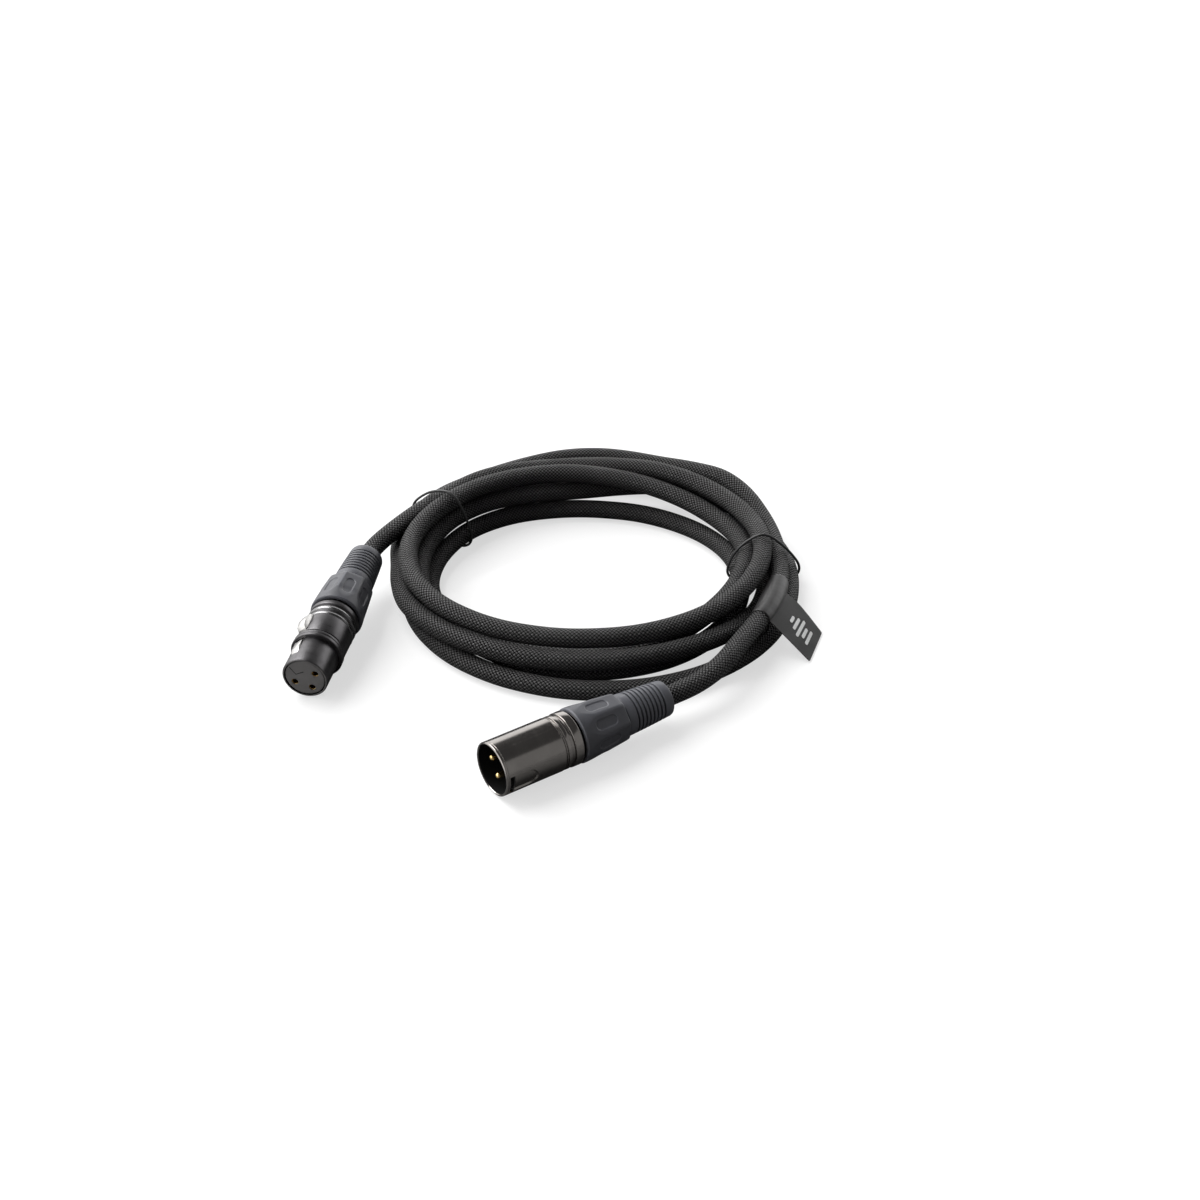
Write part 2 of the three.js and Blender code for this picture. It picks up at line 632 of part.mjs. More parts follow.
function addFemaleContacts(parent) {
  const latchSlot = radialBox(4.3, 31, 5.2, 10, 4.8, FEMALE_KEY);
  let insert = insertBlank(0.5, 29.6, NOSE_BORE).subtract(latchSlot);
  contactAngles(FEMALE).forEach((deg, i) => {
    insert = insert
      .subtract(offAxis(rod(0, 3, 1.3), deg, PIN_CIRCLE)) // pin's entry
      .subtract(offAxis(rod(1.5, 30, 2.0), deg, PIN_CIRCLE)); // socket's hole
    addMesh(`female_socket_${i + 1}`, offAxis(femaleSocket(), deg, PIN_CIRCLE), "gold", parent);
  });
  addMesh("female_insert", insert, "insert", parent);
}

// Flat strip with the hook in front and the press tab towards its rear.
function addLatchLever(parent) {
  const width = 3.8;
  // [along, distance from the axis]
  const outline = [
    [5.6, 7.1], [26.4, 7.1], [26.4, 8.1], [25.9, 10.0], [19.6, 10.5], [18.4, 9.9],
    [17.8, 8.2], [12, 8.2], [11.4, 8.75], [7.6, 8.75], [6.6, 8.1], [5.6, 8.1],
  ];
  const shape = new THREE.Shape(outline.map((point) => new THREE.Vector2(...point)));
  const lever = new THREE.ExtrudeGeometry(shape, { depth: width, bevelEnabled: false });
  lever.translate(0, 0, -width / 2);
  lever.rotateX(Math.PI / 2);
  addMesh("latch_lever", turned(lever, FEMALE_KEY), "steel", parent);
}

// Return spring under the press tab.
function addLatchSpring(parent) {
  const steps = 30; // three turns of ten
  const radius = 1.2;
  const helix = [];
  for (let i = 0; i <= steps; i++) {
    const angle = (2 * Math.PI * i) / 10;
    const x = 22 + radius * Math.cos(angle);
    helix.push(new THREE.Vector3(x, radius * Math.sin(angle), 5.5 + (1.3 * i) / steps));
  }
  const spring = tubeGeometry(smoothCurve(helix), 0.17, steps, 4);
  addMesh("latch_spring", turned(spring, FEMALE_KEY), "steel", parent);
}

// ---- assembly ----
function group(name, position) {
  const result = new THREE.Group();
  result.name = name;
  result.position.set(...position);
  return result;
}

const object = group("xlr_cable_coil", [0, 0, 0]);
const root = group("coil_frame", COIL_CENTRE);
const male = group("male_connector", MALE_RIM);
const female = group("female_connector", FEMALE_FACE);
{
  const x = new THREE.Vector3(...FEMALE_DIR).normalize();
  const y = new THREE.Vector3(0, 0, 1).cross(x).normalize();
  const z = x.clone().cross(y);
  female.quaternion.setFromRotationMatrix(new THREE.Matrix4().makeBasis(x, y, z));
}
object.add(root);
root.add(male, female);

addCoil(root);
addTail("cable_male_tail", PIVOT_IN, MALE_BEND_AT, root);
addTail("cable_female_tail", CABLE_L - FEMALE_BEND_AT, CABLE_L - PIVOT_IN, root);
addLabelSleeve(root);
addLabelFlag(root);
for (const tie of TIES) addTie(tie, root);

addMaleShell(male);
addMaleContacts(male);
addRear(MALE, male);

addFemaleShell(female);
addFemaleContacts(female);
addLatchLever(female);
addLatchSpring(female);
addRear(FEMALE, female);

export default object;
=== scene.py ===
"""A braided cable lying in a coil, with a three-pin plug and a three-hole socket on its ends.

The pin end is called male, the socket end female. Shapes are worked out in the coil frame:
millimetres, z up from the floor, the coil round the z axis, both connectors on its -x side with
their fronts towards -x. to_row turns that into the row frame, in metres. Places along the cable
are lengths from its male end.
"""
import math

import bmesh
import bpy
import numpy as np
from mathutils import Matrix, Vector


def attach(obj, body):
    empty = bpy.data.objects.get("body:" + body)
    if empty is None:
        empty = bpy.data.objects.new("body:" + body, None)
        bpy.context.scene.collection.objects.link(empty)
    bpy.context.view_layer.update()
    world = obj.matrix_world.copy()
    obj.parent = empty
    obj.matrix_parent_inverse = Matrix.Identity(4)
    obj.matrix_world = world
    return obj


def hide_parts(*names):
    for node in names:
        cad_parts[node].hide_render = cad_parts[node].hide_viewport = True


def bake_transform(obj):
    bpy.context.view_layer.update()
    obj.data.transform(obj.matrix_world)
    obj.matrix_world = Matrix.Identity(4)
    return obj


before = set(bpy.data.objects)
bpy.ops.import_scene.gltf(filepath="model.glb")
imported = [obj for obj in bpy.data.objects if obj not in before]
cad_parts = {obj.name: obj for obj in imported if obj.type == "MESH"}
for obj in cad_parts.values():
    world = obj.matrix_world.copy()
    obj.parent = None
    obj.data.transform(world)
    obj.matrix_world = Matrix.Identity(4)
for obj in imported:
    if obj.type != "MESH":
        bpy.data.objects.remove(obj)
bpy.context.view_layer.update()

# ------------------------------------------------------------------ dimensions (mm, coil frame)
MM = 0.001
SHIFT = np.array([26.19, 7.594, -0.013])    # coil frame's origin in the row frame

CABLE_R = 3.75
LINE_STEP = 0.5           # between stations of the centre line
LINE_SMOOTHING = 60       # passes
EXTRA = 60                # stations added straight into each connector
PIVOT_IN = 8.8            # pivots of the connectors, in from the cable's ends
MALE_BEND_AT = 53.0       # bends of the tails, in from the cable's ends
FEMALE_BEND_AT = 42.0
SLEEVE_FROM, SLEEVE_TO = 61.3, 89.0
SLEEVE_BORE, SLEEVE_R = 3.9, 4.16

# angles are in degrees round a connector's axis, see Connector
MALE_RIM = np.array([-102.636, -88.443, 10.3])
MALE_L = 72.7
MALE_KEY = -12.0
MALE_COLLAR = (32.8, 52.0)
WINDOW_KEY = -9.0
SHELL_R, SHELL_BORE = 9.85, 9.0

FEMALE_FACE = np.array([-128.975, -2.876, 9.05])
FEMALE_DIR = np.array([0.72298713, 0.68684275, 0.07440865])
FEMALE_L = 75.93
FEMALE_KEY = 130.0        # the latch
FEMALE_CONTACTS = 120.0   # middle of the contacts' open side
FEMALE_COLLAR = (36.75, 54.56)
BODY_R, NOSE_R, NOSE_BORE = 9.5, 8.57, 7.75

CONTACTS = (90, -90, 180)           # angles of the three contacts, from the key
PIN_R, CONTACT_CIRCLE = 1.18, 4.7
SPIGOT_R, CHUCK_R = 8.2, 6.85       # tail of either shell, chuck inside it
CHUCK_BORE = CHUCK_R + 0.35
RELIEF_BORE = 3.98

# points of the cable's centre line: x, y, z
PATH = np.array([
    (-29.94, -88.44, 10.3), (-15.96, -88.55, 10.73), (-2.37, -85.66, 11.71), (10.28, -79.71, 12.26),
    (22.82, -73.42, 12.39), (35.16, -66.78, 12.22), (46.22, -58.28, 12.06), (55.81, -48.19, 11.87),
    (63.94, -36.9, 11.79), (70.71, -24.72, 11.75), (75.95, -11.64, 12.7), (78.56, 2.34, 15.29),
    (77.35, 16.41, 17.24), (72.08, 29.74, 16.47), (64.81, 42.12, 15.62), (56.43, 53.39, 15.81),
    (46.45, 63.01, 16.21), (34.55, 70.17, 15.97), (21.46, 75.09, 14.95), (7.73, 78.39, 13.44),
    (-6.44, 79.77, 12.29), (-20.61, 78.4, 12.01), (-34.15, 74.09, 11.24), (-46.08, 66.56, 9.87),
    (-55.49, 56.0, 9.39), (-62.7, 43.52, 10.23), (-69.54, 31.35, 10.56), (-74.28, 18.91, 10.91),
    (-75.43, 5.33, 11.38), (-73.26, -8.64, 11.5), (-68.34, -21.92, 11.13), (-61.0, -33.87, 10.71),
    (-51.84, -44.48, 10.55), (-41.19, -53.58, 10.61), (-29.14, -60.67, 10.69),
    (-15.99, -65.45, 10.57), (-2.21, -67.76, 10.11), (11.71, -67.28, 9.11), (25.12, -63.85, 7.52),
    (37.48, -57.62, 5.76), (48.43, -49.02, 5.04), (57.66, -38.58, 5.32), (64.56, -26.58, 5.09),
    (68.56, -13.44, 4.32), (69.94, 0.28, 3.83), (70.11, 14.11, 3.77), (69.8, 27.85, 3.77),
    (66.47, 40.98, 3.77), (59.26, 52.83, 3.77), (49.28, 62.81, 3.77), (37.63, 70.64, 3.77),
    (24.78, 76.15, 3.77), (11.11, 79.11, 3.77), (-2.84, 79.2, 4.0), (-16.51, 76.28, 4.71),
    (-29.35, 70.85, 5.36), (-40.65, 63.32, 5.15), (-50.1, 53.83, 4.13), (-58.29, 42.77, 3.77),
    (-65.65, 30.75, 3.77), (-71.2, 17.83, 3.77), (-73.9, 4.08, 3.77), (-73.71, -9.92, 3.77),
    (-70.95, -23.58, 3.77), (-65.72, -36.5, 3.77), (-58.2, -48.28, 3.77), (-48.69, -58.54, 3.77),
    (-37.5, -66.93, 3.77), (-24.99, -73.17, 3.77), (-11.54, -76.99, 3.77), (2.4, -78.13, 3.77),
    (16.3, -76.58, 3.77), (29.66, -72.49, 3.77), (42.04, -66.01, 3.88), (53.1, -57.39, 4.49),
    (62.52, -46.94, 5.26), (70.0, -34.97, 5.26), (75.12, -21.83, 4.5), (77.41, -8.1, 5.28),
    (76.14, 5.65, 8.55), (71.15, 19.01, 11.4), (63.29, 30.92, 11.1), (53.01, 40.31, 10.25),
    (40.92, 47.12, 10.05), (27.72, 52.18, 10.63), (14.47, 57.48, 11.29), (0.98, 61.84, 11.45),
    (-12.87, 63.11, 11.63), (-26.37, 60.82, 11.62), (-39.03, 54.87, 11.3), (-50.14, 45.77, 10.9),
    (-58.87, 34.44, 10.56), (-64.89, 21.76, 10.07), (-67.74, 8.22, 9.09), (-66.98, -5.68, 7.7),
    (-63.07, -19.06, 6.05), (-56.64, -31.44, 4.59), (-48.16, -42.53, 3.86), (-37.72, -51.78, 3.77),
    (-25.4, -58.32, 3.77), (-11.85, -61.81, 3.77), (2.19, -62.07, 3.77), (15.9, -59.11, 3.77),
    (28.47, -53.23, 4.0), (39.32, -44.71, 4.71), (47.98, -33.76, 5.34), (53.99, -21.06, 5.12),
    (56.82, -7.5, 4.32), (55.99, 6.3, 3.84), (51.7, 19.62, 3.77), (44.53, 31.62, 3.77),
    (35.16, 41.74, 3.77), (24.29, 50.09, 3.77), (12.11, 56.57, 3.81), (-1.25, 59.68, 4.22),
    (-15.06, 58.83, 5.05), (-28.5, 54.95, 5.39), (-40.71, 48.53, 4.76), (-50.81, 39.52, 4.0),
    (-57.91, 27.92, 3.77), (-61.55, 14.58, 3.77), (-61.42, 0.72, 3.77), (-57.65, -12.63, 3.78),
    (-51.32, -25.02, 3.8), (-42.85, -36.08, 3.77), (-32.22, -45.14, 3.99), (-19.79, -51.49, 5.02),
    (-6.41, -54.89, 6.8), (7.31, -55.26, 8.84), (20.9, -52.64, 10.52), (33.85, -47.33, 11.9),
    (45.38, -39.52, 12.83), (54.22, -29.05, 12.49), (59.32, -16.34, 11.81), (60.4, -2.47, 12.19),
    (57.97, 11.29, 13.59), (53.0, 24.27, 15.17), (45.59, 36.08, 16.56), (35.96, 46.32, 17.75),
    (24.95, 54.98, 18.54), (12.7, 61.44, 18.6), (-0.61, 64.99, 18.68), (-14.52, 64.97, 19.07),
    (-28.33, 61.77, 19.21), (-41.22, 56.79, 18.58), (-52.18, 49.58, 17.72), (-60.77, 39.49, 17.4),
    (-66.9, 27.0, 17.21), (-69.6, 13.14, 16.76), (-68.28, -0.84, 16.06), (-63.72, -14.06, 15.28),
    (-56.62, -26.08, 14.81), (-47.55, -36.72, 14.68), (-36.92, -45.8, 14.72), (-24.88, -52.9, 14.7),
    (-11.75, -57.69, 14.7), (2.06, -59.97, 14.91), (16.05, -59.5, 15.38), (29.67, -56.06, 16.09),
    (42.36, -49.73, 16.9), (53.25, -40.59, 17.49), (61.19, -28.91, 17.51), (66.05, -15.63, 17.23),
    (67.88, -1.71, 17.15), (66.71, 12.13, 17.5), (62.67, 25.39, 18.17), (56.01, 37.69, 18.27),
    (46.93, 48.37, 17.71), (36.09, 57.32, 17.2), (24.16, 64.62, 17.0), (11.46, 70.07, 17.13),
    (-2.0, 73.39, 17.16), (-15.9, 72.61, 16.7), (-29.22, 69.05, 16.43), (-42.61, 64.39, 16.89),
    (-55.72, 58.74, 16.78), (-68.59, 53.47, 15.24), (-74.08, 49.28, 14.7),
])


# ------------------------------------------------------------------ geometry
def to_row(point):
    """Coil frame (mm) to row frame (m)."""
    return (np.asarray(point, float) + SHIFT) * MM


def unit(vector):
    return vector / np.linalg.norm(vector)


def unit_rows(vectors):
    return vectors / np.linalg.norm(vectors, axis=1)[:, None]


def run_length(points):
    """Distance along a line of points, at each of them."""
    return np.r_[0, np.cumsum(np.linalg.norm(np.diff(points, axis=0), axis=1))]


def turn(count):
    """Even angles once round, in radians."""
    return np.linspace(0, 2 * np.pi, count + 1)[:-1]


def smooth01(x):
    x = np.clip(x, 0, 1)
    return x * x * (3 - 2 * x)


def wrap(degrees):
    return (degrees + 180) % 360 - 180


def spline(points, per_span=24):
    """Centripetal Catmull-Rom curve through the points."""
    out = []
    padded = [2 * points[0] - points[1], *points, 2 * points[-1] - points[-2]]
    for before, here, there, after in zip(padded, padded[1:], padded[2:], padded[3:]):
        gap0, gap1, gap2 = (max(np.sum((a - b) ** 2) ** 0.25, 1e-4)
                            for a, b in ((before, here), (here, there), (there, after)))
        middle = (there - here) / gap1
        slope0 = ((here - before) / gap0 - (there - before) / (gap0 + gap1) + middle) * gap1
        slope1 = (middle - (after - here) / (gap1 + gap2) + (after - there) / gap2) * gap1
        square = -3 * here + 3 * there - 2 * slope0 - slope1
        cube = 2 * here - 2 * there + slope0 + slope1
        for k in range(per_span):
            t = k / per_span
            out.append(here + slope0 * t + square * t * t + cube * t ** 3)
    out.append(points[-1])
    return np.array(out)


def carry_frame(tangents, normal):
    """Normals and binormals that follow the tangents without twisting."""
    normals = np.zeros_like(tangents)
    for i, tangent in enumerate(tangents):
        normal = unit(normal - tangent * (normal @ tangent))
        normals[i] = normal
    return normals, np.cross(tangents, normals)


def rings_round(centres, radii, normals, binormals, sides):
    """Rings of points round a line; radii has a row for each centre."""
    angles = turn(sides)[None, :, None]
    spokes = np.cos(angles) * normals[:, None] + np.sin(angles) * binormals[:, None]
    return centres[:, None] + radii[..., None] * spokes


def cable_line():
    """The cable's length, and its even, lightly smoothed line, extended into both connectors."""
    curve = spline(PATH)
    reach = run_length(curve)
    length = float(reach[-1])
    places = np.linspace(0, length, int(round(length / LINE_STEP)) + 1)
    line = np.stack([np.interp(places, reach, curve[:, k]) for k in range(3)], 1)
    for _ in range(LINE_SMOOTHING):
        line[1:-1] += 0.25 * (line[:-2] - 2 * line[1:-1] + line[2:])
    steps = (np.arange(1, EXTRA + 1) * LINE_STEP)[:, None]
    into_male = line[0] - np.array([1.0, 0, 0]) * steps[::-1]
    into_female = line[-1] - unit(FEMALE_DIR) * steps
    return length, np.vstack([into_male, line, into_female])


CABLE_L, LINE = cable_line()
PLACES = (np.arange(len(LINE)) - EXTRA) * LINE_STEP
TANGENTS = unit_rows(np.gradient(LINE, axis=0))
NORMALS, BINORMALS = carry_frame(TANGENTS, np.array([0, 0, 1.0]))


def station(place):
    """Index on LINE of a place along the cable."""
    return int(round((place + EXTRA * LINE_STEP) / LINE_STEP))


def on_cable(place):
    return np.array([np.interp(place, PLACES, LINE[:, k]) for k in range(3)])


class Connector:
    """A connector's own frame: t along its axis from its front towards the cable, and an angle
    seen from the front, 0 to the right and 90 up."""

    def __init__(self, origin, axis):
        self.origin = origin
        self.axis = unit(axis)
        self.left = unit(np.cross([0, 0, 1.0], self.axis))
        self.up = np.cross(self.axis, self.left)

    def around(self, degrees):
        a = np.radians(degrees)
        return -np.cos(a)[..., None] * self.left + np.sin(a)[..., None] * self.up

    def ring(self, t, degrees, radius):
        spokes = np.asarray(radius, float)[..., None] * self.around(degrees)
        return self.origin + t * self.axis + spokes

    def at(self, degrees, t, sideways, out):
        """Point out along the spoke at an angle, and sideways from that spoke."""
        spoke = self.around(degrees)
        side = np.cross(self.axis, spoke)
        return self.origin + t * self.axis + sideways * side + out * spoke

    def face_point(self, t, right, up):
        return self.origin + t * self.axis - right * self.left + up * self.up


MALE = Connector(MALE_RIM, np.array([1.0, 0, 0]))
FEMALE = Connector(FEMALE_FACE, FEMALE_DIR)


# ------------------------------------------------------------------ meshes
def new_mesh(name, points, faces, uvs=None, smooth=True, mat=None):
    """Object from points in the coil frame."""
    me = bpy.data.meshes.new(name)
    me.from_pydata([tuple(v) for v in to_row(points)], [], faces)
    me.validate()
    if uvs is not None:
        layer = me.uv_layers.new(name="UVMap")
        layer.data.foreach_set("uv", np.asarray(uvs, np.float32).ravel())
    me.polygons.foreach_set("use_smooth", [smooth] * len(me.polygons))
    me.update()
    ob = bpy.data.objects.new(name, me)
    bpy.context.scene.collection.objects.link(ob)
    if mat:
        me.materials.append(mat)
    return ob


def fix_normals(ob):
    bm = bmesh.new()
    bm.from_mesh(ob.data)
    bmesh.ops.recalc_face_normals(bm, faces=bm.faces)
    if bm.calc_volume(signed=True) < 0:
        bmesh.ops.reverse_faces(bm, faces=bm.faces)
    bm.to_mesh(ob.data)
    bm.free()


def ring_mesh(name, rings, lengths, mat, ends=(), turned=False):
    """Skin over rings of points, with fans to the end points if there are any.

    lengths holds each ring's UV x, in metres; one more entry than rings joins the last ring to
    the first. UV y runs 0..1 round. turned reverses the faces."""
    count, sides = rings.shape[:2]
    points = list(rings.reshape(-1, 3))
    faces = []      # each a list of (point, uv)
    for i in range(len(lengths) - 1):
        row, next_row = i * sides, (i + 1) % count * sides
        here, there = lengths[i], lengths[i + 1]
        for j in range(sides):
            k = (j + 1) % sides
            low, high = j / sides, (j + 1) / sides
            faces.append([(row + j, (here, low)), (row + k, (here, high)),
                          (next_row + k, (there, high)), (next_row + j, (there, low))])
    for i, centre in zip((0, count - 1), ends):
        hub = len(points)
        points.append(centre)
        for j in range(sides):
            rim = (i * sides + j, i * sides + (j + 1) % sides)
            if i == 0:
                rim = rim[::-1]
            faces.append([(corner, (lengths[i], 0.0)) for corner in (hub, *rim)])
    if turned:
        faces = [face[:1] + face[:0:-1] for face in faces]
    uvs = [uv for face in faces for _, uv in face]
    return new_mesh(name, points, [[corner for corner, _ in face] for face in faces], uvs, mat=mat)


def ring_body(name, con, rings, segs, mat, closed=True, centre=(0.0, 0.0)):
    """Body round a connector's axis, or round a parallel at centre (angle, distance).

    rings: (t, radius), the radius a number or a function of the angles in degrees. Closed
    joins the last ring to the first, otherwise both ends are filled in."""
    angles = np.linspace(0, 360, segs + 1)[:-1]
    offset = centre[1] * con.around(centre[0])
    rings = [(t, r(angles) if callable(r) else r) for t, r in rings]
    points = np.array([con.ring(t, angles, r) + offset for t, r in rings])
    lengths = run_length(np.array([(t, np.mean(r)) for t, r in rings])) * MM
    ends = ()
    if closed:
        lengths = np.r_[lengths, lengths[-1] + 0.001]
    else:
        ends = [con.origin + rings[i][0] * con.axis + offset for i in (0, -1)]
    ob = ring_mesh(name, points, lengths, mat, ends, turned=True)
    fix_normals(ob)
    return ob


def swept(name, points, radii, sides, mat, closed=False):
    """Round cord along a line of points."""
    count = len(points)
    if closed:
        tangents = np.roll(points, -1, 0) - np.roll(points, 1, 0)
    else:
        tangents = np.gradient(points, axis=0)
    tangents = unit_rows(tangents)
    first = unit(np.cross(tangents[0], [0.3, 0.2, 1.0]))
    normals, binormals = carry_frame(tangents, first)
    lengths = run_length(points) * MM
    if closed:  # spread the twist left over at the seam
        last = unit(normals[-1] - tangents[0] * (normals[-1] @ tangents[0]))
        twist = math.atan2(last @ binormals[0], last @ normals[0])
        a = (-twist * np.arange(count) / count)[:, None]
        normals, binormals = (normals * np.cos(a) + binormals * np.sin(a),
                              -normals * np.sin(a) + binormals * np.cos(a))
        lengths = np.r_[lengths, lengths[-1] + (lengths[-1] - lengths[-2])]
    radii = np.broadcast_to(np.asarray(radii, float), (count,))[:, None]
    rings = rings_round(points, radii, normals, binormals, sides)
    ob = ring_mesh(name, rings, lengths, mat, () if closed else (points[0], points[-1]))
    fix_normals(ob)
    return ob


def fillet(profile, radius=0.12, steps=3):
    """Rounds the corners of a closed (t, r) profile. A third entry overrides the radius."""
    corners = [np.array(p[:2], float) for p in profile]
    radii = [p[2] if len(p) > 2 else radius for p in profile]
    out = []
    for i, corner in enumerate(corners):
        back = corners[i - 1] - corner
        ahead = corners[(i + 1) % len(corners)] - corner
        back_l, ahead_l = np.linalg.norm(back), np.linalg.norm(ahead)
        if back_l < 1e-6 or ahead_l < 1e-6 or radii[i] <= 0:
            out.append((corner[0], corner[1]))
            continue
        back, ahead = back / back_l, ahead / ahead_l
        angle = math.acos(max(-1, min(1, float(back @ ahead))))
        if angle > math.radians(172):
            out.append((corner[0], corner[1]))
            continue
        # the arc takes at most 0.45 of either side
        cut_back = min(radii[i] / math.tan(angle / 2), back_l * 0.45, ahead_l * 0.45)
        arc_r = cut_back * math.tan(angle / 2)
        centre = corner + unit(back + ahead) * (arc_r / math.sin(angle / 2))
        start, end = (math.atan2(*(corner + way * cut_back - centre)[::-1])
                      for way in (back, ahead))
        sweep = (end - start + math.pi) % (2 * math.pi) - math.pi
        for k in range(steps + 1):
            a = start + sweep * k / steps
            out.append((centre[0] + arc_r * math.cos(a), centre[1] + arc_r * math.sin(a)))
    return out


def apply_mods(ob):
    dg = bpy.context.evaluated_depsgraph_get()
    dg.update()
    me = bpy.data.meshes.new_from_object(ob.evaluated_get(dg))
    old = ob.data
    ob.modifiers.clear()
    ob.data = me
    bpy.data.meshes.remove(old)


def cutter_box(con, t0, t1, r0, r1, width, degrees, bevel=0.0):
    """Box between t0..t1 and r0..r1, at an angle round a connector's axis."""
    points = [con.at(degrees, t, side, r)
              for t in (t0, t1) for side in (-width / 2, width / 2) for r in (r0, r1)]
    faces = [(0, 1, 3, 2), (4, 6, 7, 5), (0, 4, 5, 1), (2, 3, 7, 6), (0, 2, 6, 4), (1, 5, 7, 3)]
    ob = new_mesh("cut", points, faces, smooth=False)
    fix_normals(ob)
    if bevel:
        mod = ob.modifiers.new("bevel", "BEVEL")
        mod.width = bevel * MM
        mod.segments = 3
        apply_mods(ob)
    return ob


def cut(ob, cutters):
    for cutter in cutters:
        mod = ob.modifiers.new("cut", "BOOLEAN")
        mod.object = cutter
        mod.operation = "DIFFERENCE"
        mod.solver = "EXACT"
    bpy.context.view_layer.update()
    apply_mods(ob)
    for cutter in cutters:
        bpy.data.objects.remove(cutter, do_unlink=True)


def shade(ob, angle):
    """Smooth shading, with creases of at least the angle kept sharp."""
    ob.data.polygons.foreach_set("use_smooth", [True] * len(ob.data.polygons))
    bm = bmesh.new()
    bm.from_mesh(ob.data)
    limit = math.radians(angle)
    for e in bm.edges:
        if len(e.link_faces) == 2:
            e.smooth = e.calc_face_angle(0) < limit
    bm.to_mesh(ob.data)
    bm.free()


def paint(ob, con, base, rules):
    """Material by place: the first rule (test, material) whose test of a face's t, radius and
    forward facing holds; base elsewhere."""
    ob.data.materials.clear()
    for mat in (base, *(mat for _, mat in rules)):
        ob.data.materials.append(mat)
    origin = to_row(con.origin)
    for face in ob.data.polygons:
        centre = np.array(face.center) - origin
        along = centre @ con.axis
        t = float(along) / MM
        radius = float(np.linalg.norm(centre - con.axis * along)) / MM
        front = float(-(np.array(face.normal) @ con.axis))
        hits = (i + 1 for i, (test, _) in enumerate(rules) if test(t, radius, front))
        face.material_index = next(hits, 0)


def assign(ob, body, node=None):
    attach(ob, body)
    if node:
        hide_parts(node)


# ------------------------------------------------------------------ shader building
class Graph:
    """Short calls for adding nodes to a node tree."""

    def __init__(self, tree):
        self.tree = tree

    def add(self, kind, **settings):
        node = self.tree.nodes.new(kind)
        for key, value in settings.items():
            setattr(node, key, value)
        return node

    def feed(self, socket, value):
        if isinstance(value, bpy.types.NodeSocket):
            self.tree.links.new(value, socket)
        else:
            socket.default_value = value

    def calc(self, operation, first, second=None, clamp=False):
        node = self.add("ShaderNodeMath", operation=operation, use_clamp=clamp)
        self.feed(node.inputs[0], first)
        if second is not None:
            self.feed(node.inputs[1], second)
        return node.outputs[0]

    def mix(self, share, first, second):
        node = self.add("ShaderNodeMix", data_type="RGBA")
        for i, value in ((0, share), (6, first), (7, second)):
            self.feed(node.inputs[i], value)
        return node.outputs[2]

    def remap(self, value, from_min, from_max, to_min=0.0, to_max=1.0, curve="LINEAR"):
        node = self.add("ShaderNodeMapRange", interpolation_type=curve)
        for i, entry in enumerate((value, from_min, from_max, to_min, to_max)):
            self.feed(node.inputs[i], entry)
        return node.outputs[0]

    def noise(self, vector, scale, detail=3.0, rough=0.5):
        node = self.add("ShaderNodeTexNoise")
        self.feed(node.inputs["Vector"], vector)
        self.feed(node.inputs["Scale"], scale)
        self.feed(node.inputs["Detail"], detail)
        self.feed(node.inputs["Roughness"], rough)
        return node.outputs[0]

    def mapping(self, vector, setting, value):
        node = self.add("ShaderNodeMapping")
        self.feed(node.inputs[0], vector)
        self.feed(node.inputs[setting], value)
        return node.outputs[0]

    def coords(self):
        return self.mapping(self.add("ShaderNodeTexCoord").outputs["Object"], "Scale", (1, 1, 1))

    def uv(self):
        return self.add("ShaderNodeUVMap", uv_map="UVMap").outputs[0]

    def camera_ray(self):
        return self.add("ShaderNodeLightPath").outputs["Is Camera Ray"]

    def separate(self, vector):
        node = self.add("ShaderNodeSeparateXYZ")
        self.feed(node.inputs[0], vector)
        return node.outputs

    def bump(self, height, strength, distance):
        node = self.add("ShaderNodeBump")
        self.feed(node.inputs["Strength"], strength)
        self.feed(node.inputs["Distance"], distance)
        self.feed(node.inputs["Height"], height)
        return node.outputs[0]


class Surface(Graph):
    """Graph of a new material."""

    def __init__(self, name):
        self.mat = bpy.data.materials.new(name)
        self.mat.use_nodes = True
        super().__init__(self.mat.node_tree)

    def finish(self, inputs):
        """Feeds the Principled inputs and gives the material."""
        principled = self.tree.nodes["Principled BSDF"]
        for key, value in inputs.items():
            self.feed(principled.inputs[key], value)
        return self.mat

    def worn_grey(self, base, tint, spread, lift, edge_to, wear, blotches):
        """Tinted grey, blotchy by spread, lightened to the lift (factor, addition) on edges."""
        point = self.add("ShaderNodeNewGeometry").outputs["Pointiness"]
        edge = self.remap(point, 0.505, edge_to)
        darker, lighter = (grey(base * factor, tint) for factor in spread)
        color = self.mix(self.remap(blotches, 0.3, 0.7), darker, lighter)
        worn = grey(min(1, base * lift[0] + lift[1]), tint)
        return self.mix(self.calc("MULTIPLY", edge, wear), color, worn)


def grey(value, tint=(1, 1, 1)):
    return (value * tint[0], value * tint[1], value * tint[2], 1.0)


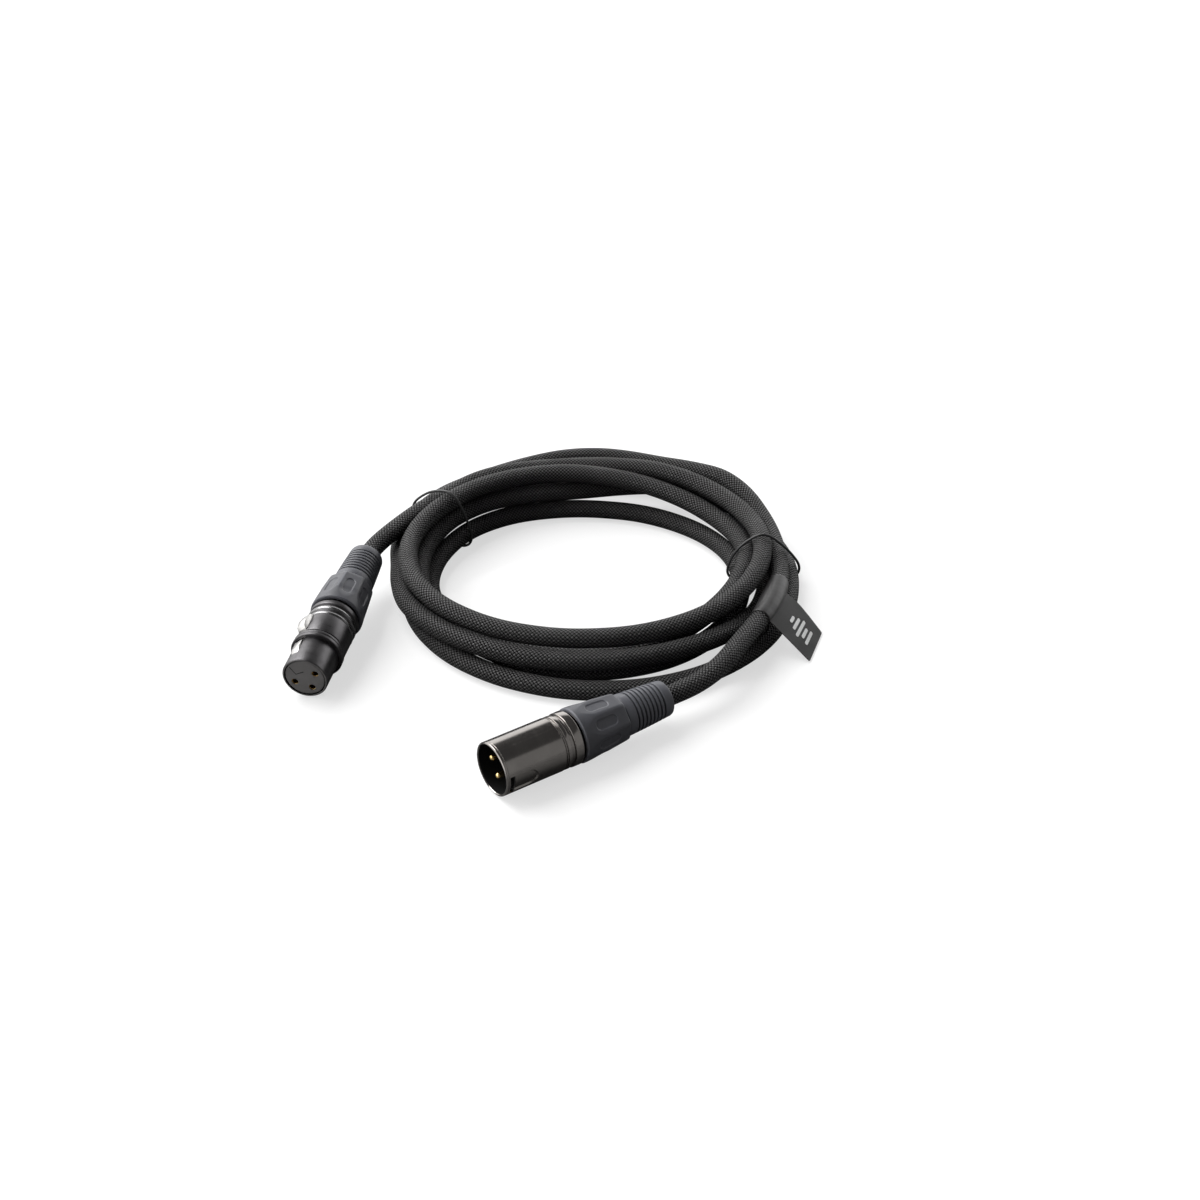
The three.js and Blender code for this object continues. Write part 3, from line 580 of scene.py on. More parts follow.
# ------------------------------------------------------------------ materials
def braid_material():
    """Two sets of yarns winding opposite ways, each over one and under one of the other."""
    pitch = 0.00160             # m along the cable
    yarns_round = 16.0
    fibres = 2 * math.pi * 3    # three filaments to a yarn
    # painted shade: near-black for the gaps between the yarns
    gap_painted_shade = grey(0.0006, (1, .97, 1.0))
    yarn_color = grey(0.034, (1, 0.95, 0.95))
    net = Surface("braid_woven")
    calc = net.calc
    uv = net.separate(net.uv())
    along = calc("DIVIDE", uv[0], pitch)
    round_ = calc("MULTIPLY", uv[1], yarns_round)
    rising = calc("ADD", along, round_)
    falling = calc("SUBTRACT", along, round_)
    part_r, part_f = calc("FRACT", rising), calc("FRACT", falling)
    number_r, number_f = calc("FLOOR", rising), calc("FLOOR", falling)
    parity = calc("FLOORED_MODULO", calc("ADD", number_r, number_f), 2.0)

    def off_middle_squared(part):
        off = calc("SUBTRACT", calc("MULTIPLY", part, 2.0), 1.0)
        return calc("MULTIPLY", off, off)

    def top(across, run):
        """Round across the yarn, dipping where it goes under its neighbour."""
        crown = calc("SUBTRACT", 1.0, calc("MULTIPLY", across, 0.75))
        return calc("SUBTRACT", crown, calc("MULTIPLY", calc("POWER", run, 2.0), 0.6))

    def by_parity(even, odd):
        return calc("ADD", calc("MULTIPLY", even, calc("SUBTRACT", 1.0, parity)),
                    calc("MULTIPLY", odd, parity))

    square_r, square_f = off_middle_squared(part_r), off_middle_squared(part_f)
    weave = by_parity(top(square_f, square_r), top(square_r, square_f))
    filaments = by_parity(calc("SINE", calc("MULTIPLY", part_f, fibres)),
                          calc("SINE", calc("MULTIPLY", part_r, fibres)))
    cell = net.add("ShaderNodeCombineXYZ")
    net.feed(cell.inputs[0], number_r)
    net.feed(cell.inputs[1], number_f)
    white = net.add("ShaderNodeTexWhiteNoise", noise_dimensions="3D")
    net.feed(white.inputs["Vector"], cell.outputs[0])
    per_yarn = white.outputs["Value"]
    blotches = net.noise(net.coords(), scale=90.0)

    raised = calc("MAXIMUM", weave, 0.0)
    # colour darkens from each yarn's crown down into the gaps: painted shade
    color = net.mix(calc("POWER", raised, 2.4, clamp=True), gap_painted_shade, yarn_color)
    # brightness: a base, then how much yarns, blotches and filaments vary it
    vary = calc("ADD", 0.78, calc("ADD", calc("MULTIPLY", per_yarn, 0.26),
                                  calc("MULTIPLY", blotches, 0.22)))
    fine = calc("ADD", 1.0, calc("MULTIPLY", filaments, 0.10))
    hsv = net.add("ShaderNodeHueSaturation")
    net.feed(hsv.inputs["Color"], color)
    net.feed(hsv.inputs["Value"], calc("MULTIPLY", vary, fine))
    height = calc("ADD", weave, calc("ADD", calc("MULTIPLY", filaments, 0.10),
                                     calc("MULTIPLY", per_yarn, 0.12)))
    # only the yarns' tops shine; the gaps between them stay black, with their painted shade
    shine = calc("MULTIPLY", calc("POWER", raised, 2.2, clamp=True), 0.95)
    return net.finish({
        "Base Color": hsv.outputs[0],
        "Roughness": net.remap(blotches, 0.3, 0.7, 0.44, 0.58),
        "Normal": net.bump(height, strength=1.0, distance=0.0005),
        "Specular IOR Level": shine})


def plastic(name, base, rough, grain, scale, tint, wear, specular=0.5):
    net = Surface(name)
    coords = net.coords()
    fine = net.noise(coords, scale, detail=2.0)
    blotches = net.noise(coords, scale=140.0)
    color = net.worn_grey(base, tint, spread=(0.9, 1.12), lift=(2.6, 0.02), edge_to=0.56,
                          wear=wear, blotches=blotches)
    # grain and blotches each shift the roughness a little
    by_grain = net.remap(fine, 0.3, 0.7, -0.05, 0.06)
    by_blotch = net.remap(blotches, 0.3, 0.7, -0.03, 0.05)
    return net.finish({
        "Base Color": color,
        "Roughness": net.calc("ADD", by_grain, net.calc("ADD", rough, by_blotch)),
        "Normal": net.bump(fine, strength=0.55, distance=grain),
        "Specular IOR Level": specular})


def metal(name, base, rough, tint, depth, line_scale, wear, scratch):
    net = Surface(name)
    lines = net.noise(net.mapping(net.uv(), "Scale", (*line_scale, 1)), scale=1.0, detail=4.0,
                      rough=0.6)
    coords = net.coords()
    blotches = net.noise(coords, scale=160.0)
    smudge = net.noise(coords, scale=420.0, detail=5.0, rough=0.65)
    color = net.worn_grey(base, tint, spread=(0.92, 1.08), lift=(1.8, 0.05), edge_to=0.57,
                          wear=wear, blotches=blotches)
    # brush lines and smudges shift the roughness by a share of itself
    by_line = net.remap(lines, 0.3, 0.7, -0.25 * rough, 0.3 * rough)
    by_smudge = net.calc("MULTIPLY", net.remap(smudge, 0.5, 0.75), 0.35 * rough)
    return net.finish({
        "Base Color": color,
        "Roughness": net.calc("ADD", rough, net.calc("ADD", by_line, by_smudge)),
        "Metallic": 1.0,
        "Normal": net.bump(lines, strength=scratch, distance=depth)})


# name, grey level, roughness, grain depth (m), grain scale, tint, edge wear, specular if not 0.5
PLASTICS = {
    "boot": ("boot_moulded", 0.072, 0.42, 0.00002, 5200.0, (0.94, 0.96, 1.10), 0.4),
    "insert_male": ("insert_moulded_dark", 0.006, 0.5, 0.00002, 4200.0, (1, 1, 1), 0.1),
    "insert_female": ("insert_moulded_grey", 0.140, 0.5, 0.00002, 4200.0, (1.0, 0.96, 0.95), 0.1),
    # painted shade: near-black for the inside of the shells' bores and the latch window's walls
    "bore": ("bore_dark", 0.004, 0.6, 0.00001, 4200.0, (1, 1, 1), 0.0, 0.15),
    "cord": ("tie_rubber", 0.016, 0.38, 0.00003, 3500.0, (1, 1, 1.02), 0.15),
    "label": ("label_vinyl", 0.021, 0.36, 0.000012, 3800.0, (1, 0.965, 0.975), 0.1),
    "flag": ("label_sheet", 0.017, 0.55, 0.000012, 3800.0, (1, 0.98, 0.985), 0.1),
    "print": ("print_white", 0.80, 0.5, 0.00001, 4800.0, (1, 1, 1), 0.0),
    # painted shade: near-black for the engraved key mark's groove
    "engrave": ("engraved_dark", 0.010, 0.6, 0.00001, 4800.0, (1, 1, 1), 0.0),
    "chuck": ("chuck_moulded", 0.62, 0.45, 0.00002, 2600.0, (1, 0.97, 0.9), 0.05),
    "red": ("wire_red", 0.42, 0.35, 0.00001, 3000.0, (1, 0.06, 0.04), 0.0),
    "white": ("wire_white", 0.74, 0.35, 0.00001, 3000.0, (1, 1, 0.97), 0.0),
}
# name, grey level, roughness, tint, brush depth (m), brush scale along and round, edge wear,
# brush strength
METALS = {
    "shell": ("shell_gunmetal", 0.29, 0.17, (1.0, 0.94, 0.89), 0.000004, (9000, 3), 0.25, 0.12),
    "nose": ("shell_dark_satin", 0.105, 0.34, (1.0, 0.97, 1.0), 0.000004, (9000, 3), 0.15, 0.12),
    # lighter than the nose's metal: a painted highlight on the two rear rings, which are also
    # smoother
    "ring": ("shell_ring_painted_highlight", 0.20, 0.24, (1.0, 0.99, 1.0), 0.000004, (9000, 3), 0.1, 0.1),
    "rim": ("shell_rim_satin", 0.10, 0.40, (1.0, 0.96, 0.93), 0.000004, (9000, 3), 0.1, 0.1),
    "gold": ("gold_plate", 0.95, 0.18, (1.0, 0.72, 0.32), 0.000002, (5000, 3), 0.1, 0.1),
    "steel": ("latch_steel", 0.52, 0.30, (1, 0.985, 0.96), 0.000004, (300, 2), 0.2, 0.2),
    "copper": ("wire_copper", 0.72, 0.3, (1.0, 0.52, 0.32), 0.00002, (2500, 12), 0.0, 0.5),
}
MATS = {"braid": braid_material()}
MATS.update({key: plastic(*row) for key, row in PLASTICS.items()})
MATS.update({key: metal(*row) for key, row in METALS.items()})

# ------------------------------------------------------------------ cable
INSIDE = 27.0                               # how far the braid runs into each connector
SEAM_M, SEAM_F = 30.0, CABLE_L - 25.0       # between end and tail
JOIN_M, JOIN_F = 66.0, CABLE_L - 62.0       # between tail and coil

# piece, from, to, ring spacing, then two bodies and where a bend between them would start and end;
# no piece is bent here
BRAIDS = [
    ("coil", JOIN_M, JOIN_F, 1.5, None),
    ("male_tail", SEAM_M, JOIN_M, 1.0,
     ("coil", "male_tail", MALE_BEND_AT + 5, MALE_BEND_AT - 12)),
    ("male_end", -INSIDE, SEAM_M, 1.0, ("male_tail", "male_plug", PIVOT_IN + 11, 0.5)),
    ("female_tail", JOIN_F, SEAM_F, 1.0,
     ("coil", "female_tail", CABLE_L - FEMALE_BEND_AT - 5, CABLE_L - FEMALE_BEND_AT + 10)),
    ("female_end", SEAM_F, CABLE_L + INSIDE, 1.0,
     ("female_tail", "female_plug", CABLE_L - PIVOT_IN - 9, CABLE_L - 0.5)),
]


def breathe(s, a):
    """Slow unevenness of the braid over the cores."""
    return (0.05 * np.sin(s / 11.0 + 2 * a) + 0.04 * np.sin(s / 23.0 + 1.3)
            + 0.03 * np.sin(s / 4.3 + 3 * a))


def braid(piece, start, end, spacing, bend):
    sides = 28
    last = station(end)
    rows = list(range(station(start), last + 1, int(round(spacing / LINE_STEP))))
    if rows[-1] != last:
        rows.append(last)
    radii = CABLE_R + breathe(PLACES[rows][:, None], turn(sides)[None, :])
    rings = rings_round(LINE[rows], radii, NORMALS[rows], BINORMALS[rows], sides)
    ob = ring_mesh(f"cable_{piece}_braid", rings, PLACES[rows] * MM, MATS["braid"],
                   ends=(LINE[rows[0]], LINE[last]))
    if bend:
        body, next_body, bend_from, bend_to = bend
        to_row(on_cable(bend_from))
        to_row(on_cable(bend_to))
        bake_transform(ob)
    else:
        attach(ob, piece)
    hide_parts(f"cable_{piece}")


for row in BRAIDS:
    braid(*row)


# ------------------------------------------------------------------ label sleeve and flag
def wrinkle(s, a):
    return (0.011 * np.sin(s * 0.9 + np.sin(2 * a) * 1.5) + 0.009 * np.sin(3 * a + s * 0.25)
            + 0.006 * np.sin(s * 2.3 - 2 * a))


def sleeve():
    """Wrinkled wall with eased edges, closed through its bore."""
    sides = 64
    first, last = station(SLEEVE_FROM), station(SLEEVE_TO)
    rows = np.r_[first, first, np.arange(first, last + 1), last, last]
    radii = SLEEVE_R + wrinkle(PLACES[rows][:, None], turn(sides))
    radii[[1, -2]] -= 0.10
    radii[[2, -3]] -= 0.03
    radii[[0, -1]] = SLEEVE_BORE
    shift = np.zeros((len(rows), 1))
    shift[2], shift[-3] = 0.06, -0.06
    centres = LINE[rows] + TANGENTS[rows] * shift
    rings = rings_round(centres, radii, NORMALS[rows], BINORMALS[rows], sides)
    lengths = np.arange(len(rows) + 1) * LINE_STEP * MM
    ob = ring_mesh("label_sleeve_wrap", rings, lengths, MATS["label"])
    fix_normals(ob)
    shade(ob, 60)
    assign(ob, "coil", "label_sleeve")


sleeve()

FLAG_W, FLAG_T = 20.3, 0.34
# ends of the line where the flag bends over the outer strand, and of its free edge on the floor
FOLD = np.array([[31.0, -79.3, 10.1], [49.7, -67.3, 10.1]])
FREE = np.array([[36.8, -90.2, 0.45], [53.0, -78.2, 0.45]])


def flag_curve(u, k):
    """Point a share u across the flag and k from the sleeve to its free edge."""
    place = SLEEVE_FROM + 0.1 + FLAG_W * u
    tangent = unit(on_cable(place + 1) - on_cable(place - 1))
    tangent = unit(np.array([tangent[0], tangent[1], 0]))
    start = on_cable(place) + np.array([tangent[1], -tangent[0], 0]) * 4.0 + [0, 0, 0.5]
    fold = FOLD[0] + (FOLD[1] - FOLD[0]) * u
    end = FREE[0] + (FREE[1] - FREE[0]) * u
    pull_start = start + (fold - start) * 0.92
    pull_end = fold + (end - fold) * 0.10
    return (start * (1 - k) ** 3 + 3 * pull_start * k * (1 - k) ** 2
            + 3 * pull_end * k * k * (1 - k) + end * k ** 3)


FLAG_SHARES = np.linspace(0, 1, 201)
FLAG_RUN = run_length(np.array([flag_curve(0.5, k) for k in FLAG_SHARES]))
FLAG_L = float(FLAG_RUN[-1])


def flag_point(x, y):
    """x along the cable from the flag's middle, y away from the sleeve."""
    u, v = x / FLAG_W + 0.5, y / FLAG_L
    point = flag_curve(u, float(np.interp(y, FLAG_RUN, FLAG_SHARES)))
    wave = 0.22 * math.sin(math.pi * u * 1.2 + 0.3) * math.sin(math.pi * v) * (1 - 0.3 * v)
    return point + np.array([0, 0, wave])


def flag_at(x, y):
    """Point and upward normal."""
    h = 0.05
    across = flag_point(x + h, y) - flag_point(x - h, y)
    down = flag_point(x, min(FLAG_L, y + h)) - flag_point(x, max(0.0, y - h))
    normal = unit(np.cross(across, down))
    return flag_point(x, y), (normal if normal[2] > 0 else -normal)


def flag():
    """Sheet with its two free corners rounded."""
    cells_x, cells_y = 34, 46
    corner = 0.5
    uv_size = 0.02
    top, bottom = [], []
    for i in range(cells_x + 1):
        for j in range(cells_y + 1):
            x = (i / cells_x - 0.5) * FLAG_W
            y = j / cells_y * FLAG_L
            over_x = abs(x) - (FLAG_W / 2 - corner)
            over_y = y - (FLAG_L - corner)
            if over_x > 0 and over_y > 0:
                pull = max(over_x, over_y) / math.hypot(over_x, over_y)
                x = math.copysign(FLAG_W / 2 - corner + over_x * pull, x)
                y = FLAG_L - corner + over_y * pull
            point, normal = flag_at(x, y)
            top.append(point + normal * FLAG_T / 2)
            bottom.append(point - normal * FLAG_T / 2)

    def index(i, j):
        return i * (cells_y + 1) + j

    under = len(top)
    faces, uvs = [], []
    for i in range(cells_x):
        for j in range(cells_y):
            a, b, c, d = index(i, j), index(i + 1, j), index(i + 1, j + 1), index(i, j + 1)
            faces += [(a, b, c, d), (a + under, d + under, c + under, b + under)]
            uvs += [(i / cells_x * uv_size, j / cells_y * uv_size)] * 8
    edge = [index(i, 0) for i in range(cells_x + 1)]
    edge += [index(cells_x, j) for j in range(1, cells_y + 1)]
    edge += [index(i, cells_y) for i in range(cells_x - 1, -1, -1)]
    edge += [index(0, j) for j in range(cells_y - 1, 0, -1)]
    for a, b in zip(edge, edge[1:] + edge[:1]):
        faces.append((b, a, a + under, b + under))
        uvs += [(0, 0)] * 4
    ob = new_mesh("label_flag_sheet", top + bottom, faces, uvs, mat=MATS["flag"])
    fix_normals(ob)
    shade(ob, 50)
    assign(ob, "label_flag", "label_flag")


def bars():
    """Printed mark: five level bars with rounded ends."""
    lengths = [3.8, 7.2, 10.4, 6.2, 8.6]
    width, gap = 1.36, 1.0
    total = 5 * width + 4 * gap
    rows = 26
    points, faces = [], []
    for k, length in enumerate(lengths):
        middle = FLAG_L * 0.56 - total / 2 + k * (width + gap) + width / 2
        base = len(points)
        for lift in (0.09, -0.06):      # above and below the flag's upper face
            for m in range(rows + 1):
                # closer rows where the outline turns
                x = (0.5 - 0.5 * math.cos(math.pi * m / rows) - 0.5) * length
                over = abs(x) - (length / 2 - width / 2)
                half = width / 2
                if over > 0:
                    half = math.sqrt(max(0.0, half ** 2 - over * over))
                half = max(half, 0.02)
                for side in (-1, 1):
                    point, normal = flag_at(x, middle + side * half)
                    points.append(point + normal * (FLAG_T / 2 + lift))

        def top(m, side):
            return base + 2 * m + side

        def low(m, side):
            return top(m + rows + 1, side)

        for m in range(rows):
            n = m + 1
            faces += [(top(m, 0), top(n, 0), top(n, 1), top(m, 1)),
                      (low(m, 0), low(m, 1), low(n, 1), low(n, 0)),
                      (top(m, 0), low(m, 0), low(n, 0), top(n, 0)),
                      (top(m, 1), top(n, 1), low(n, 1), low(m, 1))]
        faces += [(top(0, 0), top(0, 1), low(0, 1), low(0, 0)),
                  (top(rows, 0), low(rows, 0), low(rows, 1), top(rows, 1))]
    ob = new_mesh("label_mark_bars", points, faces, smooth=False, mat=MATS["print"])
    fix_normals(ob)
    assign(ob, "label_flag")


flag()
bars()


# ------------------------------------------------------------------ ties
def convex_hull(points):
    points = sorted(points)

    def half(ordered):
        hull = []
        for x, y in ordered:
            while len(hull) > 1:
                (x0, y0), (x1, y1) = hull[-2:]
                if (x1 - x0) * (y - y0) - (y1 - y0) * (x - x0) > 0:
                    break
                hull.pop()
            hull.append((x, y))
        return hull[:-1]

    return np.array(half(points) + half(points[::-1]))


def tie(node, azimuth, strands):
    """Cord drawn round the strands, given as (distance from the coil's axis, height)."""
    clearance = 5.15        # strand's centre to cord's centre
    count = 180
    lowest = 0.66
    hull = convex_hull([(r + clearance * math.cos(a), z + clearance * math.sin(a))
                        for r, z in strands for a in turn(72)])
    loop = np.vstack([hull, hull[0]])
    reach = run_length(loop)
    places = np.linspace(0, reach[-1], count + 1)[:-1]
    flat = np.stack([np.interp(places, reach, loop[:, k]) for k in range(2)], 1)
    for _ in range(70):
        flat = flat + 0.25 * (np.roll(flat, 1, 0) - 2 * flat + np.roll(flat, -1, 0))
    a = math.radians(azimuth)
    outward = np.array([math.cos(a), math.sin(a), 0])
    side = np.array([-math.sin(a), math.cos(a), 0])
    phase = turn(count)
    sway = 0.5 * np.sin(phase + 0.7) + 0.25 * np.sin(3 * phase)
    points = (flat[:, :1] * outward + flat[:, 1:] * np.array([0, 0, 1.0])
              + sway[:, None] * side)
    points[:, 2] = np.maximum(points[:, 2], lowest)
    radii = 0.52 + 0.02 * np.sin(5 * phase)
    ob = swept(node + "_cord", points, radii, 16, MATS["cord"], closed=True)
    assign(ob, "coil", node)


tie("tie_left", 115.15, [(81.57, 11.19), (76.34, 5.4), (66.46, 11.59), (61.65, 5.4),
                         (68.03, 19.19), (75.32, 16.48)])
tie("tie_right", -31.85, [(73.73, 11.8), (69.44, 5.33), (78.2, 5.39), (58.47, 5.36),
                          (61.24, 12.69), (67.38, 17.57)])


# ------------------------------------------------------------------ boots
def collar(prefix, con, start, end, roll, front, rear):
    """Eight-sided grip, round at its front edge; front and rear are its radii there."""
    length = end - start
    grip_half_l, grip_half_w, grip_corner = 4.75, 2.15, 2.1
    grip_depth, grip_edge = 0.32, 0.42
    blend = 28              # sharpness of the change from round to flat

    def radius(t, phi):
        u = (t - start) / length
        round_r = float(np.interp(u, [0, 0.03, 0.5, 0.93, 1.0],
                                  [front - 0.2, front, front - 0.2, rear, rear - 0.3]))
        # facets grow out of the round front edge
        apothem = round_r * (1 - 0.058 * float(smooth01((u - 0.06) / 0.35)))
        from_middle = np.radians((wrap(phi - roll) + 22.5) % 45 - 22.5)
        facet = apothem / np.cos(from_middle)
        r = -np.log(np.exp(-facet * blend) + np.exp(-round_r * blend)) / blend + 0.018
        # a shallow rounded recess in every facet
        dx = np.abs(t - (start + 0.52 * length)) - (grip_half_l - grip_corner)
        dy = np.abs(from_middle * round_r) - (grip_half_w - grip_corner)
        outside = np.where((dx > 0) & (dy > 0),
                           np.hypot(np.maximum(dx, 0), np.maximum(dy, 0)),
                           np.maximum(dx, dy)) - grip_corner
        return r - grip_depth * smooth01(-outside / grip_edge)

    def ring_at(t, less=0.0):
        return lambda phi: radius(t, phi) - less

    step_at = start + 8.4   # inside, from the spigot's bore to the chuck's
    rings = [(start + 0.25, SPIGOT_R + 0.4), (start, 8.9), (start, front - 0.6),
             (start + 0.12, front - 0.33)]
    rings += [(float(t), ring_at(float(t))) for t in np.linspace(start + 0.35, end - 0.35, 124)]
    rings += [(end - 0.12, ring_at(end - 0.3, 0.12)), (end, ring_at(end - 0.3, 0.36)),
              (end, CHUCK_BORE), (step_at, CHUCK_BORE), (step_at, SPIGOT_R + 0.4)]
    ob = ring_body(prefix + "_collar_grip", con, rings, 320, MATS["boot"])
    shade(ob, 55)
    assign(ob, prefix + "_collar", prefix + "_collar")


def relief(prefix, con, collar_end, length):
    """Tapered sleeve with eight grooves round it."""
    start = collar_end + 0.35
    start_r, end_r = 8.0 - 0.15, 6.62
    first, last, count = start + 4.1, length - 4.4, 8
    pitch = (last - first) / (count - 1)
    groove_w, groove_depth = 0.78, 1.2

    def radius(t):
        share = (t - start) / (length - start)
        return start_r + (end_r - start_r) * share + 0.12 * math.sin(math.pi * share)

    profile = [(collar_end - 1.0, RELIEF_BORE, 0), (collar_end - 1.0, CHUCK_R),
               (start, CHUCK_R, 0), (start, radius(start), 0.35)]
    for k in range(count):
        t = first + pitch * k
        half = groove_w / 2
        floor_r = radius(t) - groove_depth
        profile += [(t - half - 0.02, radius(t - half), 0.16),
                    (t - groove_w * 0.32, floor_r, 0.15), (t + groove_w * 0.32, floor_r, 0.15),
                    (t + half + 0.02, radius(t + half), 0.16)]
    profile += [(length, radius(length), 1.1), (length, RELIEF_BORE, 0.2)]
    ob = ring_body(prefix + "_relief_ribbed", con, fillet(profile), 120, MATS["boot"])
    shade(ob, 50)
    assign(ob, prefix + "_relief", prefix + "_relief")


collar("male", MALE, *MALE_COLLAR, roll=MALE_KEY + 8, front=10.24, rear=9.2)
relief("male", MALE, MALE_COLLAR[1], MALE_L)
collar("female", FEMALE, *FEMALE_COLLAR, roll=FEMALE_KEY - 14, front=10.2, rear=9.3)
relief("female", FEMALE, FEMALE_COLLAR[1], FEMALE_L)

# ------------------------------------------------------------------ male connector
# t, radius, fillet: outside from the front to the spigot, then back through the bore
MALE_PROFILE = [
    (0, SHELL_BORE + 0.2, 0.1), (0, SHELL_R - 0.42, 0.15), (0.32, SHELL_R, 0.3),
    (1.0, SHELL_R, 0.08), (1.06, SHELL_R - 0.13, 0.04), (1.2, SHELL_R - 0.13, 0.04),
    (1.26, SHELL_R, 0.08), (24.2, SHELL_R, 0.12), (24.32, SHELL_R - 0.5, 0.06),
    (24.55, SHELL_R - 0.5, 0.06), (24.67, SHELL_R - 0.12, 0.1), (24.95, SHELL_R - 0.12, 0.1),
    (25.05, SHELL_R - 0.6, 0.06), (25.3, SHELL_R - 0.6, 0.06), (25.42, SHELL_R - 0.08, 0.12),
    (26.8, SHELL_R - 0.08, 0.15), (27.0, SHELL_R - 0.75, 0.12), (28.15, SHELL_R - 0.75, 0.12),
    (28.4, SHELL_R + 0.08, 0.25), (31.6, SHELL_R + 0.12, 0.4), (31.85, SPIGOT_R, 0.1),
    (39.9, SPIGOT_R, 0.2), (39.9, CHUCK_BORE, 0.1), (24.9, CHUCK_BORE, 0.1),
    (24.9, SHELL_BORE, 0.1), (0.4, SHELL_BORE, 0.15),
]


def male_skin(t, r):
    """Radius at t: on the plain barrel, a thumb recess behind the latch window and a seam."""
    if abs(r - SHELL_R) > 0.01 or t < 1.3 or t > 24.0:
        return r
    x = t - 3.3             # from the recess's front
    half, end = 3.3, 9.3    # half width and length of the recess, its rear end round
    depth, wall = 0.55, 0.28
    seam_at, seam_depth, seam_w = 74.0, 0.10, 0.17

    def radius(phi):
        y = np.radians(wrap(phi - WINDOW_KEY)) * SHELL_R
        if x < 0:
            inset = -1.0
        elif x > end - half:
            inset = half - np.hypot(x - (end - half), y)
        else:
            inset = half - np.abs(y)
        recess = depth * smooth01(inset / wall) * np.clip((x + 0.2) / 0.4, 0, 1)
        off_seam = wrap(phi - seam_at) * np.pi / 180 * SHELL_R
        return r - recess - seam_depth * np.exp(-(off_seam / seam_w) ** 2)

    return radius


def male_shell():
    profile = fillet(MALE_PROFILE)
    rings = []
    for here, there in zip(profile, profile[1:] + profile[:1]):
        rings.append(here)
        on_barrel = all(abs(r - SHELL_R) < 0.01 for _, r in (here, there))
        if on_barrel and there[0] - here[0] > 5:    # finer rings where the recess is
            rings += [(float(t), SHELL_R) for t in np.linspace(here[0], there[0], 110)[1:-1]]
    rings = [(t, male_skin(t, r)) for t, r in rings]
    ob = ring_body("male_shell_tube", MALE, rings, 288, MATS["shell"])
    cut(ob, [cutter_box(MALE, 1.45, 3.45, 6.5, 12, 6.9, WINDOW_KEY, bevel=0.2)])
    paint(ob, MALE, MATS["shell"], [
        (lambda t, r, front: t < 0.3 and front > 0.8, MATS["rim"]),
        # painted shade on the bore and on the latch window's walls
        (lambda t, r, front: r < SHELL_BORE + 0.12 and 0.25 < t < 25, MATS["bore"]),
        (lambda t, r, front: 1.4 < t < 3.6 and r < SHELL_R - 0.15, MATS["bore"])])
    shade(ob, 38)
    assign(ob, "male_plug", "male_shell")


def insert(prefix, con, key, t0, t1, radius, holes, channel=None):
    """Moulded disc; holes are (from, to, radius) at each contact, channel the size of a box cut
    at the latch."""
    profile = [(t0, 0.001, 0), (t0, radius - 0.02, 0.35), (t1, radius, 0.2), (t1, 0.001, 0)]
    mat = MATS["insert_" + prefix]
    ob = ring_body(prefix + "_insert_disc", con, fillet(profile, 0.2, 4), 128, mat, closed=False)
    cutters = [ring_body("cut", con, [(start, r), (end, r)], 40, None, closed=False,
                         centre=(key + angle, CONTACT_CIRCLE))
               for angle in CONTACTS for start, end, r in holes]
    if channel:
        cutters.append(cutter_box(con, *channel, FEMALE_KEY))
    cut(ob, cutters)
    ob.data.materials.clear()
    ob.data.materials.append(mat)
    shade(ob, 35)
    assign(ob, prefix + "_plug", prefix + "_insert")


def male_pins():
    tip, tip_l = 2.3, 1.25
    profile = [(tip, 0.001)]
    for a in np.linspace(0, math.pi / 2, 10)[1:]:
        profile.append((tip + tip_l * (1 - math.cos(a)), PIN_R * math.sin(a) ** 0.8))
    profile += [(25.1, PIN_R), (25.1, 1.55), (29.5, 1.55), (29.5, 1.05), (26.5, 1.05),
                (26.5, 0.001)]
    for i, angle in enumerate(CONTACTS, 1):
        ob = ring_body(f"male_pin_{i}_gold", MALE, profile, 40, MATS["gold"], closed=False,
                       centre=(MALE_KEY + angle, CONTACT_CIRCLE))
        shade(ob, 40)
        assign(ob, "male_plug", f"male_pin_{i}")


male_shell()
insert("male", MALE, MALE_KEY, 14.0, 24.5, SHELL_BORE - 0.3, [(13, 25.5, PIN_R + 0.25)])
male_pins()

